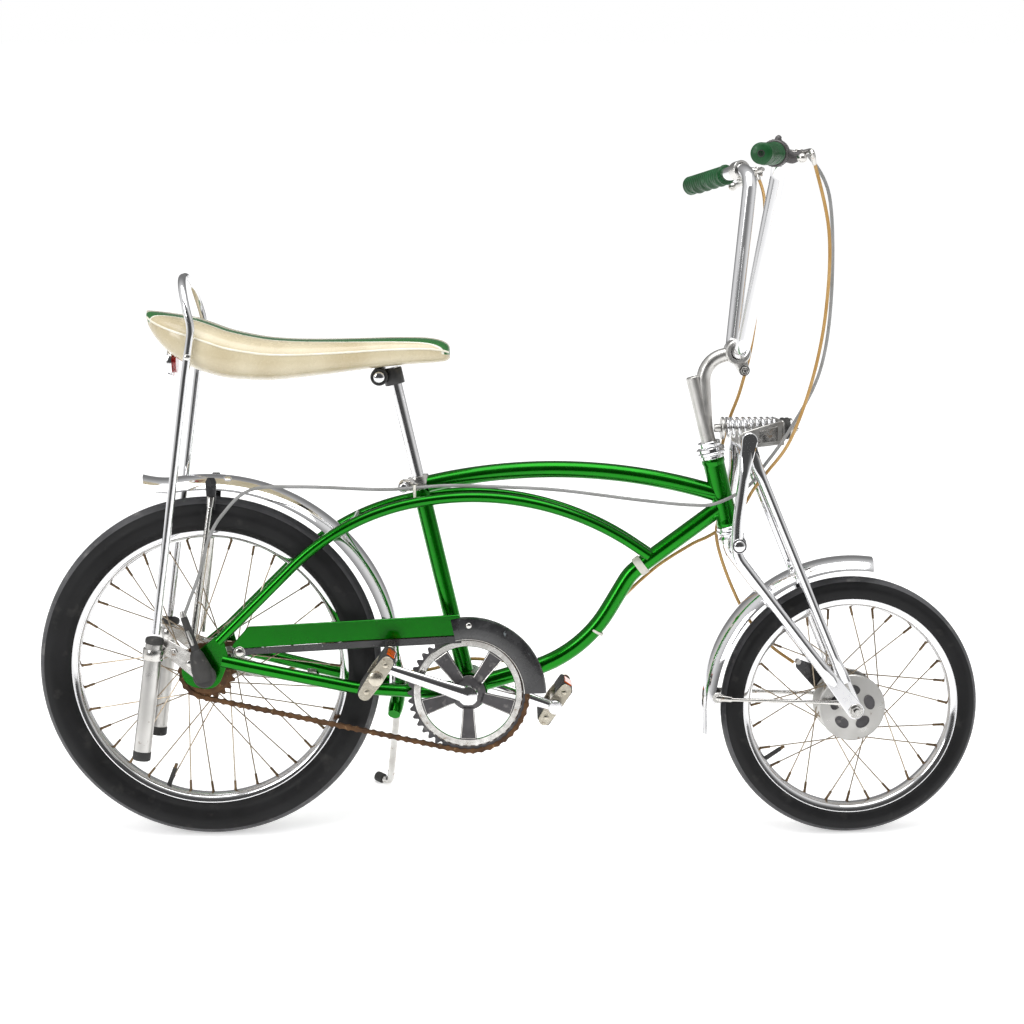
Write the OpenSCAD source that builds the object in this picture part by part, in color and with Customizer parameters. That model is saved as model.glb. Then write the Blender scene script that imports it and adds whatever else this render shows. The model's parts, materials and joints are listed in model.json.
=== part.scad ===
// Chopper bicycle: high handlebar, springer fork, banana seat with a tall loop behind it,
// a small front wheel and a larger rear one. It leans on its side stand, steering a little left.
// Each piece is drawn upright in the bicycle's own frame: X forward from the middle of the
// wheelbase, Y to the rider's left, Z up from the ground line. The last modules lean and turn it.

/* [Stance] */
// Lean to the rider's left on the side stand, degrees
lean = 8; // [4:0.5:11]
// Turn of the front wheel to the left, degrees
steer = 4; // [0:0.5:8]
// Distance between the two axles
wheelbase = 970; // [950:1:990]

/* [Wheels] */
// Outer radius of the rear tyre
rear_r = 259; // [255:0.5:261]
// Width of the rear tyre
rear_tyre_w = 54; // [48:1:56]
// Outer radius of the rear rim
rear_rim_r = 209; // [206:0.5:212]
// Outer radius of the front tyre
front_r = 197; // [193:0.5:201]
// Width of the front tyre
front_tyre_w = 40; // [36:1:44]
// Outer radius of the front rim
front_rim_r = 164; // [161:0.5:167]
// Width of both rims
rim_w = 32; // [28:1:34]
// Depth of both rims, towards the hub
rim_h = 13; // [10:0.5:15]
// Spokes in the rear wheel
rear_spoke_count = 36; // [28:4:40]
// Spokes in the front wheel
front_spoke_count = 28; // [20:4:36]
// Thickness of a spoke
spoke_d = 2; // [1.8:0.1:2.4]

/* [Frame] */
// Angle of the head tube from level, degrees
head_angle = 76; // [74:0.5:78]
// Diameter of the head tube
head_d = 32; // [31:0.5:34]
// Length of the head tube
head_len = 105; // [100:1:110]
// Diameter of the top, down and seat tubes
tube_d = 25.4; // [24:0.2:27]
// Diameter of the twin cantilever tubes
twin_d = 15.9; // [15:0.1:17]
// Diameter of the chain stays
stay_d = 19; // [18:0.5:20]
// Diameter of the bottom bracket shell
shell_d = 57; // [55:0.5:60]
// Width of the bottom bracket shell
shell_w = 68; // [66:1:70]
// Thickness of the plates that hold the rear axle
drop_t = 6; // [5:0.5:7]
// Diameter of the seat post
post_d = 20.6; // [19:0.2:22]

/* [Drive] */
// Teeth on the front chainring
ring_teeth = 44; // [42:1:46]
// Teeth on the rear sprocket
cog_teeth = 20; // [18:1:22]
// Chain pitch
pitch = 12.7; // [12.5:0.1:12.9]
// Distance of the chain from the middle of the bicycle
chain_y = 45; // [44:0.5:46]
// Length of a crank arm, centre to centre
crank_len = 140; // [130:1:145]
// Angle of the right crank arm, degrees from straight ahead
crank_angle = 161; // [155:1:167]
// Thickness of a crank arm
crank_t = 11; // [10:0.5:12]

/* [Fork] */
// Diameter of the long fork legs
leg_d = 17; // [15:0.5:18]
// Diameter of the front rods
rod_d = 15; // [13:0.5:16]
// Distance of the legs from the middle
leg_y = 52; // [50:0.5:54]
// Distance of the rods from the middle
rod_y = 41.5; // [41:0.5:43]
// Outer radius of the spring
spring_r = 16; // [14:0.5:18]
// Thickness of the spring wire
spring_wire = 5; // [4:0.5:6]
// Turns of the spring
spring_turns = 9; // [7:1:10]

/* [Bars] */
// Diameter of the handlebar tube
bar_d = 22.2; // [21:0.2:24]
// Half the width of the handlebar, to the end of a grip
bar_half = 292; // [280:1:305]
// Height of the grips above the ground line
bar_z = 1004; // [990:1:1015]
// Length of a grip
grip_len = 112; // [100:1:120]
// Diameter of a grip
grip_d = 31; // [29:0.5:34]
// How far the bar sits out of square in its clamp, right end up, degrees
bar_cant = 3.4; // [0:0.2:4]
// How far the bar is turned in the clamp past the wheel, degrees
bar_twist = 1.4; // [0:0.2:3]

/* [Seat] */
// Half the width of the seat's rear
seat_half = 71; // [66:1:74]
// Diameter of the tall loop's tube
loop_d = 12.7; // [11:0.1:14]

/* [Fenders] */
// Thickness of a fender
fender_t = 1.6; // [1.2:0.1:2]
// From the rear tyre's tread to the outside of its fender
rear_fender_gap = 34; // [30:1:36]
// From the front tyre's tread to the outside of its fender
front_fender_gap = 32; // [28:1:34]

/* [Hidden] */
$fn = 32;
clear = 0.05;
// A bend is this much thicker than the straight tube that runs into it
swell = 0.2;

rake = 90 - head_angle;
rear_axle = [-wheelbase / 2, 0, rear_r];
head_low = [298, 0, 474];
head_dir = [-sin(rake), 0, cos(rake)];
bb = [-94, 0, 226];
seat_dir = [-0.230, 0, 0.973];
post_foot = bb + 326 * seat_dir;
post_top = bb + 500 * seat_dir;
drop_y = 58;
stand_pivot = [-203, 42, 205];
stand_knee = [-224, 189, 31.5];
stand_foot = [-247, 207, 37.1];
stand_up = [-0.985, 0.08, 0.13];
bar_hub = [308, 0, 735];
side_trim = -6.2;
loop_y = seat_half + loop_d / 2 + 0.25;
rear_fender_r = rear_r + rear_fender_gap;
front_fender_r = front_r + front_fender_gap;
rear_section_r = 36;
front_section_r = 34;
section_half = 64;

ring_r = pitch / (2 * sin(180 / ring_teeth));
cog_r = pitch / (2 * sin(180 / cog_teeth));

// Vectors
function unit(v) = v / norm(v);
function mirror_y(p) = [p.x, -p.y, p.z];
function turn_about(v, k, a) = v * cos(a) + cross(k, v) * sin(a) + k * (k * v) * (1 - cos(a));
function leaned(v) = [v.x, v.y * cos(lean) + v.z * sin(lean), v.z * cos(lean) - v.y * sin(lean)];
function steered(p) = head_low + turn_about(p - head_low, head_dir, steer);

// Lowest point of a wheel with its centre at c, its axle along a, and a round tread
function wheel_low(c, a, r, w) = c.z - (r - w / 2) * sqrt(1 - a.z * a.z) - w / 2;
rear_low = wheel_low(leaned(rear_axle), leaned([0, 1, 0]), rear_r, rear_tyre_w);
front_low = wheel_low(leaned(steered([wheelbase / 2, 0, front_r])),
    leaned(turn_about([0, 1, 0], head_dir, steer)), front_r, front_tyre_w);
front_axle = [wheelbase / 2, 0, front_r + (rear_low - front_low) / cos(lean)];
length_mid = (front_r - rear_r) / 2;
pedal_reach = 168;
function grip_point(side) = leaned(steered(barred([288, side * bar_half, bar_z])));
side_mid = (grip_point(1).y + grip_point(-1).y) / 2 + side_trim;

// Placing
module leaning() translate([-length_mid, -side_mid, -rear_low]) rotate([-lean, 0, 0]) children();
module turning() leaning() translate(head_low) rotate([0, -rake, 0]) rotate([0, 0, steer])
    rotate([0, rake, 0]) translate(-head_low) children();
module along(p, q) {
    v = q - p;
    translate(p) rotate([0, acos(v.z / norm(v)), atan2(v.y, v.x)]) children();
}
module rod(p, q, d) along(p, q) cylinder(h = norm(q - p), d = d);
module both_sides() {
    children();
    mirror([0, 1, 0]) children();
}
// A cylinder across the bicycle from y0 to y1
module across(p, y0, y1, d) translate([p.x, y1, p.z]) rotate([90, 0, 0]) cylinder(h = y1 - y0, d = d);
// A flat outline in X and Z, given thickness from y0 to y1
module slab(y0, y1) translate([0, y1, 0]) rotate([90, 0, 0]) linear_extrude(y1 - y0) children();
// A round tube bowed about the origin, from angle a0 to a1 in the X-Z plane
module bow(r, a0, a1, d) rotate([90, 0, 0]) rotate([0, 0, a0]) rotate_extrude(angle = a1 - a0)
    translate([r, 0]) circle(d = d);
// A tube through rows of [point, bend radius], straight between its bends
module bent_tube(rows, d) {
    n = len(rows);
    cut = [for (i = [0:n - 1]) (i == 0 || i == n - 1) ? 0
        : rows[i][1] * tan(turn_at(rows, i) / 2)];
    for (i = [0:n - 2]) {
        a = rows[i][0];
        b = rows[i + 1][0];
        u = unit(b - a);
        rod(a + u * cut[i], b - u * cut[i + 1], d);
    }
    for (i = [1:n - 2]) tube_bend(rows[i - 1][0], rows[i][0], rows[i + 1][0], rows[i][1], d);
}
function turn_at(rows, i) = let (u = unit(rows[i][0] - rows[i - 1][0]),
    w = unit(rows[i + 1][0] - rows[i][0])) acos(min(1, u * w));
module tube_bend(a, b, c, r, d) {
    u = unit(a - b);
    w = unit(c - b);
    turn = 180 - acos(u * w);
    mid = b + unit(u + w) * r / cos(turn / 2);
    x = unit(b + u * r * tan(turn / 2) - mid);
    z = unit(cross(w, u));
    y = cross(z, x);
    lap = 60 / r;
    multmatrix([[x.x, y.x, z.x, mid.x], [x.y, y.y, z.y, mid.y], [x.z, y.z, z.z, mid.z], [0, 0, 0, 1]])
        rotate([0, 0, -lap]) rotate_extrude(angle = turn + 2 * lap) translate([r, 0])
        circle(d = d + swell);
}
// A tube with flat sides along a list of points, its sections turned as little as they can be
function carry(v, t) = unit(v - t * (v * t));
function tangent(pts, i) = unit(pts[min(i + 1, len(pts) - 1)] - pts[max(i - 1, 0)]);
function frames(pts, i, v) = i >= len(pts) ? []
    : let (w = carry(v, tangent(pts, i))) concat([w], frames(pts, i + 1, w));
module sweep(pts, d, sides) {
    first = tangent(pts, 0);
    side = abs(first.z) < 0.9 ? [0, 0, 1] : [1, 0, 0];
    ups = frames(pts, 0, carry(side, first));
    rings = [for (i = [0:len(pts) - 1]) let (t = tangent(pts, i)) for (k = [0:sides - 1])
        pts[i] + turn_about(ups[i], t, 360 * k / sides) * d / 2];
    last = (len(pts) - 1) * sides;
    polyhedron(rings, concat(
        [[for (k = [0:sides - 1]) sides - 1 - k]],
        [for (i = [0:len(pts) - 2], k = [0:sides - 1])
            [i * sides + k, i * sides + (k + 1) % sides, (i + 1) * sides + (k + 1) % sides,
            (i + 1) * sides + k]],
        [[for (k = [0:sides - 1]) last + k]]));
}

// Frame and what is fixed to it
stay_rows = [[[178, 17, 430], 0], [[15, 21, 541], 440], [[-276.5, 42.5, 497.4], 350],
    [[rear_axle.x + 17, drop_y - 1, rear_axle.z + 47], 0]];
module stay_half() {
    bent_tube(stay_rows, twin_d);
    bent_tube([[bb + [-10, 16, -4], 0], [bb + [-56, 22, -4], 60], [bb + [-168, 42, 7], 120],
        [[rear_axle.x + 60, drop_y - 1.5, rear_axle.z + 10], 80],
        [[rear_axle.x + 21, drop_y, rear_axle.z + 19], 0]], stay_d);
}
module dropout() slab(drop_y - drop_t / 2, drop_y + drop_t / 2) difference() {
    union() {
        translate([rear_axle.x - 13, rear_axle.z + 2]) circle(r = 24);
        polygon([[rear_axle.x - 22, rear_axle.z + 24.2], [rear_axle.x + 6, rear_axle.z + 53],
            [rear_axle.x + 18, rear_axle.z + 57], [rear_axle.x + 27, rear_axle.z + 50],
            [rear_axle.x + 33, rear_axle.z + 19], [rear_axle.x + 27, rear_axle.z + 9],
            [rear_axle.x - 6, rear_axle.z - 21]]);
    }
    translate([rear_axle.x, rear_axle.z]) circle(d = 9.5 + 2 * clear);
}
fender_bridge = [-262, 0, 487];
stay_bridge = rear_axle + (rear_fender_r + 7.1) * [cos(5.6), 0, -sin(5.6)];
stand_down = unit(stand_knee - stand_pivot);
foot_dir = unit(stand_foot - stand_knee);
stand_axis = unit(cross(stand_down, stand_up));
top_tube_mid = [35, 0, -276];
top_tube_r = 835;
module frame() color("green") leaning() difference() {
    union() {
        rod(head_low, head_low + head_len * head_dir, head_d);
        translate(top_tube_mid) bow(top_tube_r, 73.2, 103.4, tube_d);
        bent_tube([[[284, 0, 501], 0], [[150, 0, 401], 70], [[77, 0, 277], 200],
            [bb + [10, 0, 30.5 - 28], 0]], tube_d);
        rod(bb, post_foot, tube_d);
        across(bb, -shell_w / 2, shell_w / 2, shell_d);
        both_sides() {
            stay_half();
            dropout();
        }
        across(fender_bridge, -36, 36, 10);
        across(stay_bridge, -30, 30, 14);
        rod(stand_pivot - 6 * stand_axis, stand_pivot - 40 * stand_axis, 23);
        rod(stand_pivot - 30 * stand_axis, [-206, 25, 226], 12);
    }
    rod(head_low - head_dir, head_low + (head_len + 1) * head_dir, 28);
    across(bb, -shell_w, shell_w, 51);
    rod(stand_pivot, stand_pivot - 41 * stand_axis, 12 + 2 * clear);
    rod(post_foot - 120 * seat_dir, post_foot + 30 * seat_dir, post_d + 2 * clear);
}
module cup() difference() {
    union() {
        translate([0, 0, -8]) cylinder(h = 16, d = 28);
        translate([0, 0, 0]) cylinder(h = 6, d = 37);
        translate([0, 0, 5]) cylinder(h = 5, d = 41);
    }
    translate([0, 0, -9]) cylinder(h = 21, d = 25.4 + 2 * clear);
}
module headset_cups() color("silver") leaning() {
    along(head_low + head_len * head_dir, head_low + (head_len + 1) * head_dir) cup();
    along(head_low, head_low - head_dir) cup();
}
module tube_band() color("silver") leaning() difference() {
    rod([172, 0, 417.3], [159, 0, 407.7], tube_d + 7);
    rod([185, 0, 427], [146, 0, 398], tube_d + 3 * swell);
    both_sides() bent_tube(stay_rows, twin_d + 2 * clear);
}
module seat_post() color("silver") leaning() rod(post_foot - 100 * seat_dir, post_top, post_d);
module seat_binder() color("silver") leaning() difference() {
    union() {
        rod(post_foot - 14 * seat_dir, post_foot + 6 * seat_dir, 33);
        translate(post_foot + [-19, 0, -10]) rotate([0, -rake, 0]) cube([20, 22, 18], center = true);
        across(post_foot + [-22, 0, -9], -20, 20, 9);
    }
    rod(post_foot - 15 * seat_dir, post_foot + clear * seat_dir, tube_d + 2 * clear);
    rod(post_foot - 15 * seat_dir, post_foot + 8 * seat_dir, post_d + 2 * clear);
    translate(top_tube_mid) bow(top_tube_r, 95, 105, tube_d + 2 * clear);
}
module seat_clamp() color("black") leaning() difference() {
    union() {
        rod(post_top - 26 * seat_dir, post_top - 2 * seat_dir, 30);
        across(post_top + [-17, 0, -13], -26, 26, 26);
    }
    rod(post_top - 30 * seat_dir, post_top + 2 * seat_dir, post_d + 2 * clear);
}

// Seat: sections along it as [x, half width, bottom, top]
seat_rows = [[-568, seat_half - 41, 764, 780], [-545, seat_half - 15, 742, 789], [-500, seat_half, 712, 783],
    [-450, seat_half, 698, 764], [-390, seat_half - 4, 694, 752], [-320, seat_half - 12, 701, 750],
    [-240, seat_half - 23, 712, 752], [-160, seat_half - 30, 719, 753], [-124, seat_half - 46, 724, 744]];
function seat_ring(s) = [for (k = [0:15]) let (a = 360 * k / 16, c = cos(a), m = sin(a))
    [s[0], s[1] * sign(c) * pow(abs(c), 0.7), (s[2] + s[3]) / 2 + (s[3] - s[2]) / 2 * sign(m) * pow(abs(m), 0.7)]];
module seat() color("beige") leaning() difference() {
    n = len(seat_rows);
    polyhedron([for (s = seat_rows) each seat_ring(s)], concat(
        [[for (k = [0:15]) k]],
        [for (i = [0:n - 2], k = [0:15])
            [i * 16 + (k + 1) % 16, i * 16 + k, (i + 1) * 16 + k, (i + 1) * 16 + (k + 1) % 16]],
        [[for (k = [0:15]) (n - 1) * 16 + 15 - k]]));
    rod([-560, 0, reflector_z], [-528, 0, reflector_z], 50.4);
}
reflector_z = 722;
module rear_reflector() color("red") leaning() {
    rod([-540, 0, reflector_z], [-534, 0, reflector_z], 50);
    rod([-535, 0, reflector_z], [-528.2, 0, reflector_z], 36);
}
loop_bend_z = 775;
loop_top_z = 846;
module seat_loop() color("silver") leaning() {
    both_sides() bent_tube([[[-557, loop_y, 322], 0], [[-508, loop_y, 700], 90], [[-497, loop_y, loop_bend_z], 60],
        [[-516, loop_y - 8, loop_top_z], 64], [[-516, -1, loop_top_z], 0]], loop_d);
}
shock_foot = [-581, 86, 133];
shock_top = [-557, 86, 319];
shock_dir = unit(shock_top - shock_foot);
module shock_bodies() color("silver") leaning() both_sides() {
    rod(shock_foot + 14 * shock_dir, shock_top - 10 * shock_dir, 26);
}
module shock_caps() color("black") leaning() both_sides() {
    rod(shock_foot, shock_foot + 14 * shock_dir, 27);
    rod(shock_top - 10 * shock_dir, shock_top, 28);
}
module shock_brackets() color("silver") leaning() both_sides() difference() {
    union() {
        slab(drop_y + drop_t / 2, drop_y + drop_t / 2 + 4) {
            translate([rear_axle.x, rear_axle.z]) circle(r = 13);
            translate([-548, 300]) circle(r = 12);
            polygon([[-492, 270], [-542, 311], [-556, 291], [-494, 248]]);
        }
        rod(shock_top - 34 * shock_dir, shock_top - 18 * shock_dir, 32);
        across([-548, 0, 300], drop_y + 5, 80, 12);
    }
    across(rear_axle, drop_y, drop_y + 12, 9.5 + 2 * clear);
    rod(shock_foot, shock_top, 26);
}
// Section of a fender, r_out the outer radius from the axle
module fender_section(r_out, r_sec, half_angle) intersection() {
    translate([r_out - r_sec, 0]) difference() {
        circle(r = r_sec, $fn = 48);
        circle(r = r_sec - fender_t, $fn = 48);
    }
    translate([r_out - r_sec, 0]) polygon([[0, 0], [2 * r_sec * cos(half_angle), -2 * r_sec * sin(half_angle)],
        [3 * r_sec, 0], [2 * r_sec * cos(half_angle), 2 * r_sec * sin(half_angle)]]);
}
module fender(r_out, r_sec, a0, a1) rotate([90, 0, 0]) rotate([0, 0, a0])
    rotate_extrude(angle = a1 - a0, $fn = 96) fender_section(r_out, r_sec, section_half);
// How far a fender's edge is from the middle, and from the axle
function edge_y(r_sec) = r_sec * sin(section_half);
function edge_r(r_out, r_sec) = r_out - r_sec + r_sec * cos(section_half);
bridge_way = unit(fender_bridge - rear_axle);
module rear_fender() color("silver") leaning() {
    translate(rear_axle) fender(rear_fender_r, rear_section_r, -3, 100);
    rod(rear_axle + (rear_fender_r - 1) * bridge_way, fender_bridge - 5.1 * bridge_way, 10);
}
brace_z = rear_axle.z + edge_r(rear_fender_r, rear_section_r);
brace_y = edge_y(rear_section_r) + 0.1;
module rear_fender_braces() color("dimgray") leaning() both_sides() {
    slab(brace_y, brace_y + 2.5) {
        translate([-477, brace_z - 8]) square([11, 44], center = true);
        translate([-477, brace_z + 13]) circle(d = 11);
    }
    bent_tube([[[-477, brace_y + 4.5, brace_z - 14], 0], [[-479, brace_y + 4.5, brace_z - 27], 30],
        [[-506, 66, 300], 0]], 9);
}
module guard_outline() polygon([[-447, 296], [-422, 328], [-106, 346], [-106, 305], [-255, 299],
    [-420, 289], [-440, 284]]);
guard_y = chain_y + 9;
module chain_guard() color("green") leaning() {
    slab(-guard_y - 2, -guard_y) guard_outline();
    rod([-437, -guard_y, 291], [-437, -drop_y + 8, 291], 8);
}
module guard_hood() color("black") leaning() {
    translate(bb) rotate([90, 0, 0]) rotate([0, 0, 1]) translate([0, 0, guard_y + 2.1])
        rotate_extrude(angle = 102) translate([84, 0]) square([33, 2]);
    rod([-121, -guard_y + 0.1, 338], [-121, -tube_d / 2 - clear, 338], 7);
}
// Chain loop: rows of side plates along the two arcs and the two straight runs
run_len = norm(bb - rear_axle);
run_tilt = atan2(bb.z - rear_axle.z, bb.x - rear_axle.x);
lap = asin((ring_r - cog_r) / run_len);
function loop_outline(off) = concat(
    [for (k = [0:24]) let (a = run_tilt - 90 - lap + (180 + 2 * lap) * k / 24)
        [bb.x + (ring_r + off) * cos(a), bb.z + (ring_r + off) * sin(a)]],
    [for (k = [0:12]) let (a = run_tilt + 90 + lap + (180 - 2 * lap) * k / 12)
        [rear_axle.x + (cog_r + off) * cos(a), rear_axle.z + (cog_r + off) * sin(a)]]);
module chain_row(y0, y1) slab(y0, y1) difference() {
    polygon(loop_outline(4.3));
    polygon(loop_outline(-4.3));
}
module chain() color("saddlebrown") leaning() {
    chain_row(-chain_y - 3.6, -chain_y - 1.8);
    chain_row(-chain_y + 1.8, -chain_y + 3.6);
}
module rear_brake_arm() color("silver") leaning() {
    slab(43.2, 46.7) difference() {
        union() {
            translate([rear_axle.x, rear_axle.z]) circle(r = 20);
            polygon([[rear_axle.x, rear_axle.z + 16], [rear_axle.x, rear_axle.z - 16],
                    [rear_axle.x + 89, rear_axle.z - 29], [rear_axle.x + 93, rear_axle.z - 15]]);
            translate([rear_axle.x + 91, rear_axle.z - 22]) circle(r = 8);
        }
        translate([rear_axle.x, rear_axle.z]) circle(d = 9.5 + 2 * clear);
    }
}
module shift_boot() color("black") leaning() {
    rod(rear_axle + [0, -drop_y - 20.1, 0], rear_axle + [0, -drop_y - 33, 0], 34);
    rod(rear_axle + [-8, -drop_y - 27, 8], rear_axle + [-30, -drop_y - 27, 88], 11);
}
module rear_axle_bar() color("silver") leaning() {
    across(rear_axle, -drop_y - 20, drop_y + 22, 9.5);
    across(rear_axle, drop_y + 7.2, drop_y + 16, 17);
    across(rear_axle, 46.8, drop_y - drop_t / 2 - 0.1, 17);
    across(rear_axle, -drop_y - 16, -drop_y - 7.2, 17);
}
module bracket_cups() color("silver") leaning() both_sides() difference() {
    union() {
        across(bb, shell_w / 2 - 8, shell_w / 2, 51);
        across(bb, shell_w / 2, shell_w / 2 + 5, 50);
    }
    across(bb, shell_w / 2 - 9, shell_w / 2 + 6, 22 + 2 * clear);
}

// Side stand
module kickstand() color("silver") leaning() {
    rod(stand_pivot + 5 * stand_axis, stand_pivot - 38 * stand_axis, 12);
    rod(stand_pivot - 5.8 * stand_axis, stand_pivot + 7 * stand_axis, 22);
    bent_tube([[stand_pivot, 0], [stand_knee, 13], [stand_foot - 6 * foot_dir, 0]], 11);
}
module kickstand_tip() color("black") leaning() difference() {
    rod(stand_foot - 16 * foot_dir, stand_foot, 16);
    rod(stand_knee, stand_foot - (6 - clear) * foot_dir, 11 + 2 * clear);
}

// Cranks, pedals
crank_dir = [cos(crank_angle), 0, sin(crank_angle)];
right_eye = bb + crank_len * crank_dir + [0, -66, 0];
left_eye = bb - crank_len * crank_dir + [0, 66, 0];
module crank_arm(eye, y) {
    rod([bb.x, y, bb.z], eye, crank_t);
    across(eye, eye.y - 7, eye.y + 7, 22);
    across([bb.x, 0, bb.z], y - 7, y + 7, 30);
}
module crank() color("silver") leaning() {
    across(bb, -60, 60, 22);
    crank_arm(right_eye, -63);
    crank_arm(left_eye, 63);
    across(right_eye, right_eye.y - spindle_len, right_eye.y, spindle_d);
    across(left_eye, left_eye.y, left_eye.y + spindle_len, spindle_d);
}
module ring_teeth_outline(n, r, tip, root) polygon([for (i = [0:n - 1], k = [0:3])
    let (a = 360 * (i + [-0.32, -0.12, 0.12, 0.32][k]) / n, q = (k == 1 || k == 2) ? r + tip : r - root)
    [q * cos(a), q * sin(a)]]);
module chainring() color("dimgray") leaning() translate([bb.x, -chain_y + 1.2, bb.z]) rotate([90, 0, 0])
    linear_extrude(2.4) difference() {
        union() {
            difference() {
                ring_teeth_outline(ring_teeth, ring_r, 2.6, 3.6);
                circle(r = 72, $fn = 96);
            }
            for (k = [0:4]) rotate(270 + 72 * k) polygon([[20, -14], [74, -10], [74, 10], [20, 14]]);
            circle(r = 26);
        }
        circle(d = 22 + 2 * clear);
    }
spindle_d = 9;
spindle_len = 92;
module pedal_cage(eye, side) difference() {
    union() {
        rod(eye + [0, side * 12.8, 0], eye + [0, side * 97.2, 0], 15);
        for (y = [14, 96]) translate(eye + [0, side * y, 0]) rotate([0, pedal_tilt, 0])
            cube([72, 2.5, 22], center = true);
    }
    rod(eye, eye + [0, side * (spindle_len + 1), 0], spindle_d + 2 * clear);
}
module pedal_rubbers(eye, side) translate(eye + [0, side * 55, 0]) rotate([0, pedal_tilt, 0])
    for (x = [-24, 24]) translate([x, 0, 0]) cube([22, 78, 22], center = true);
pedal_tilt = -55;
module right_pedal_cage() color("silver") leaning() pedal_cage(right_eye, -1);
module right_pedal_rubbers() color("black") leaning() pedal_rubbers(right_eye, -1);
module left_pedal_cage() color("silver") leaning() pedal_cage(left_eye, 1);
module left_pedal_rubbers() color("black") leaning() pedal_rubbers(left_eye, 1);

// Wheels, about their own axle along Y
module revolve() rotate([90, 0, 0]) rotate_extrude($fn = 96) children();
module tyre(r, w, rim_r) revolve() difference() {
    translate([r - w / 2, 0]) circle(d = w, $fn = 32);
    translate([rim_r - 60, -w / 2]) square([60 - 2, w]);
    translate([rim_r - 60, -rim_w / 2 + 2]) square([60, rim_w - 4]);
    translate([rim_r - 60, -w / 2]) square([60.1, w / 2 - rim_w / 2 + 2.1]);
    translate([rim_r - 60, rim_w / 2 - 2.1]) square([60.1, w / 2 - rim_w / 2 + 2.1]);
}
module rim(rim_r) revolve() polygon([[rim_r, -rim_w / 2], [rim_r, -rim_w / 2 + 2], [rim_r - 7, -rim_w / 2 + 3],
    [rim_r - 8, -6], [rim_r - rim_h + 2, -5], [rim_r - rim_h + 2, 5], [rim_r - 8, 6],
    [rim_r - 7, rim_w / 2 - 3], [rim_r, rim_w / 2 - 2], [rim_r, rim_w / 2], [rim_r - 8, rim_w / 2 - 1],
    [rim_r - rim_h, 7], [rim_r - rim_h, -7], [rim_r - 8, -rim_w / 2 + 1]]);
// Crossed spokes: each flange has half, leaning forward and back by turns
module spokes(n, rim_r, flange_r, flange_y) for (i = [0:n - 1]) {
    side = i % 2 == 0 ? 1 : -1;
    way = floor(i / 2) % 2 == 0 ? 1 : -1;
    a = 360 * i / n;
    b = a + way * 62;
    rod([flange_r * cos(b), side * (flange_y + way * 2), flange_r * sin(b)],
        [(rim_r - rim_h + 1) * cos(a), side * (1.5 + way * 0.6), (rim_r - rim_h + 1) * sin(a)], spoke_d);
}
module rear_tyre() color("black") leaning() translate(rear_axle) tyre(rear_r, rear_tyre_w, rear_rim_r);
module rear_rim() color("silver") leaning() translate(rear_axle) rim(rear_rim_r);
module rear_spokes() color("tan") leaning() translate(rear_axle) spokes(rear_spoke_count, rear_rim_r, 33, 30);
module rear_hub() color("silver") leaning() translate(rear_axle) revolve() difference() {
    polygon([[0, -42], [22, -42], [24, -33], [37, -33], [37, -27], [26, -24], [24, 0], [26, 24], [37, 27],
        [37, 33], [26, 34], [24, 43.7], [0, 43.7]]);
    translate([-1, -50]) square([1 + 4.75 + clear, 100]);
}
module rear_sprocket() color("saddlebrown") leaning() translate([rear_axle.x, -chain_y + 1.2, rear_axle.z])
    rotate([90, 0, 0]) linear_extrude(2.4) difference() {
        ring_teeth_outline(cog_teeth, cog_r, 2.6, 3.6);
        circle(r = 16);
    }
module front_tyre() color("black") turning() translate(front_axle) tyre(front_r, front_tyre_w, front_rim_r);
module front_rim() color("silver") turning() translate(front_axle) rim(front_rim_r);
module front_spokes() color("tan") turning() translate(front_axle) spokes(front_spoke_count, front_rim_r, 44, 26);
module front_hub() color("silver") turning() translate(front_axle) revolve() difference() {
    polygon([[0, -30.6], [16, -30.6], [50, -29], [50, -23], [40, -20], [38, 20], [50, 23], [50, 29],
        [12, 30], [12, 34], [0, 34]]);
    translate([-1, -50]) square([1 + 4.75 + clear, 100]);
}

// Fork: crown, legs and rods in the bicycle's frame before it is turned
crown_pivot = [305, leg_y, 450];
cap = [320, leg_y, 606];
module fork_crown() color("silver") turning() difference() {
    union() {
        rod(head_low - 26 * head_dir, head_low + (head_len + 24) * head_dir, 25.4);
        rod(head_low - 26 * head_dir, head_low - 10.5 * head_dir, 40);
        rod(head_low + (head_len + 10.5) * head_dir, head_low + (head_len + 17) * head_dir, 43);
        rod(head_low + (head_len + 18) * head_dir, head_low + (head_len + 26) * head_dir, 34);
        across(crown_pivot, -leg_y + leg_d / 2, leg_y - leg_d / 2, 24);
        rod([crown_pivot.x, 0, crown_pivot.z], head_low - 12 * head_dir, 34);
    }
    rod(head_low + 20 * head_dir, head_low + 200 * head_dir, 22.2 + 2 * clear);
}
module fork_legs() color("silver") turning() both_sides() {
    bent_tube([[cap + [-3, 0, -26], 0], [[303, leg_y, 480], 300], [[302, leg_y, 434], 40],
        [[446, leg_y, 247], 0]], leg_d);
    translate([446, leg_y, 247]) sphere(d = leg_d + swell);
    slab(leg_y - 3.5, leg_y + 3.5) {
        translate([cap.x, cap.z]) circle(d = 24);
        polygon([[cap.x - 12, cap.z], [cap.x + 12, cap.z], [cap.x + 7, cap.z - 30], [cap.x - 13, cap.z - 30]]);
    }
    slab(leg_y - 3, leg_y + 3) difference() {
        union() {
            translate([front_axle.x, front_axle.z]) circle(r = 13);
            polygon([[440, 242], [453, 252], [front_axle.x + 9, front_axle.z + 9],
                [front_axle.x - 9, front_axle.z - 9]]);
        }
        translate([front_axle.x, front_axle.z]) circle(d = 9.5 + 2 * clear);
    }
}
rod_plate = rod_y + 1.5;
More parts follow.
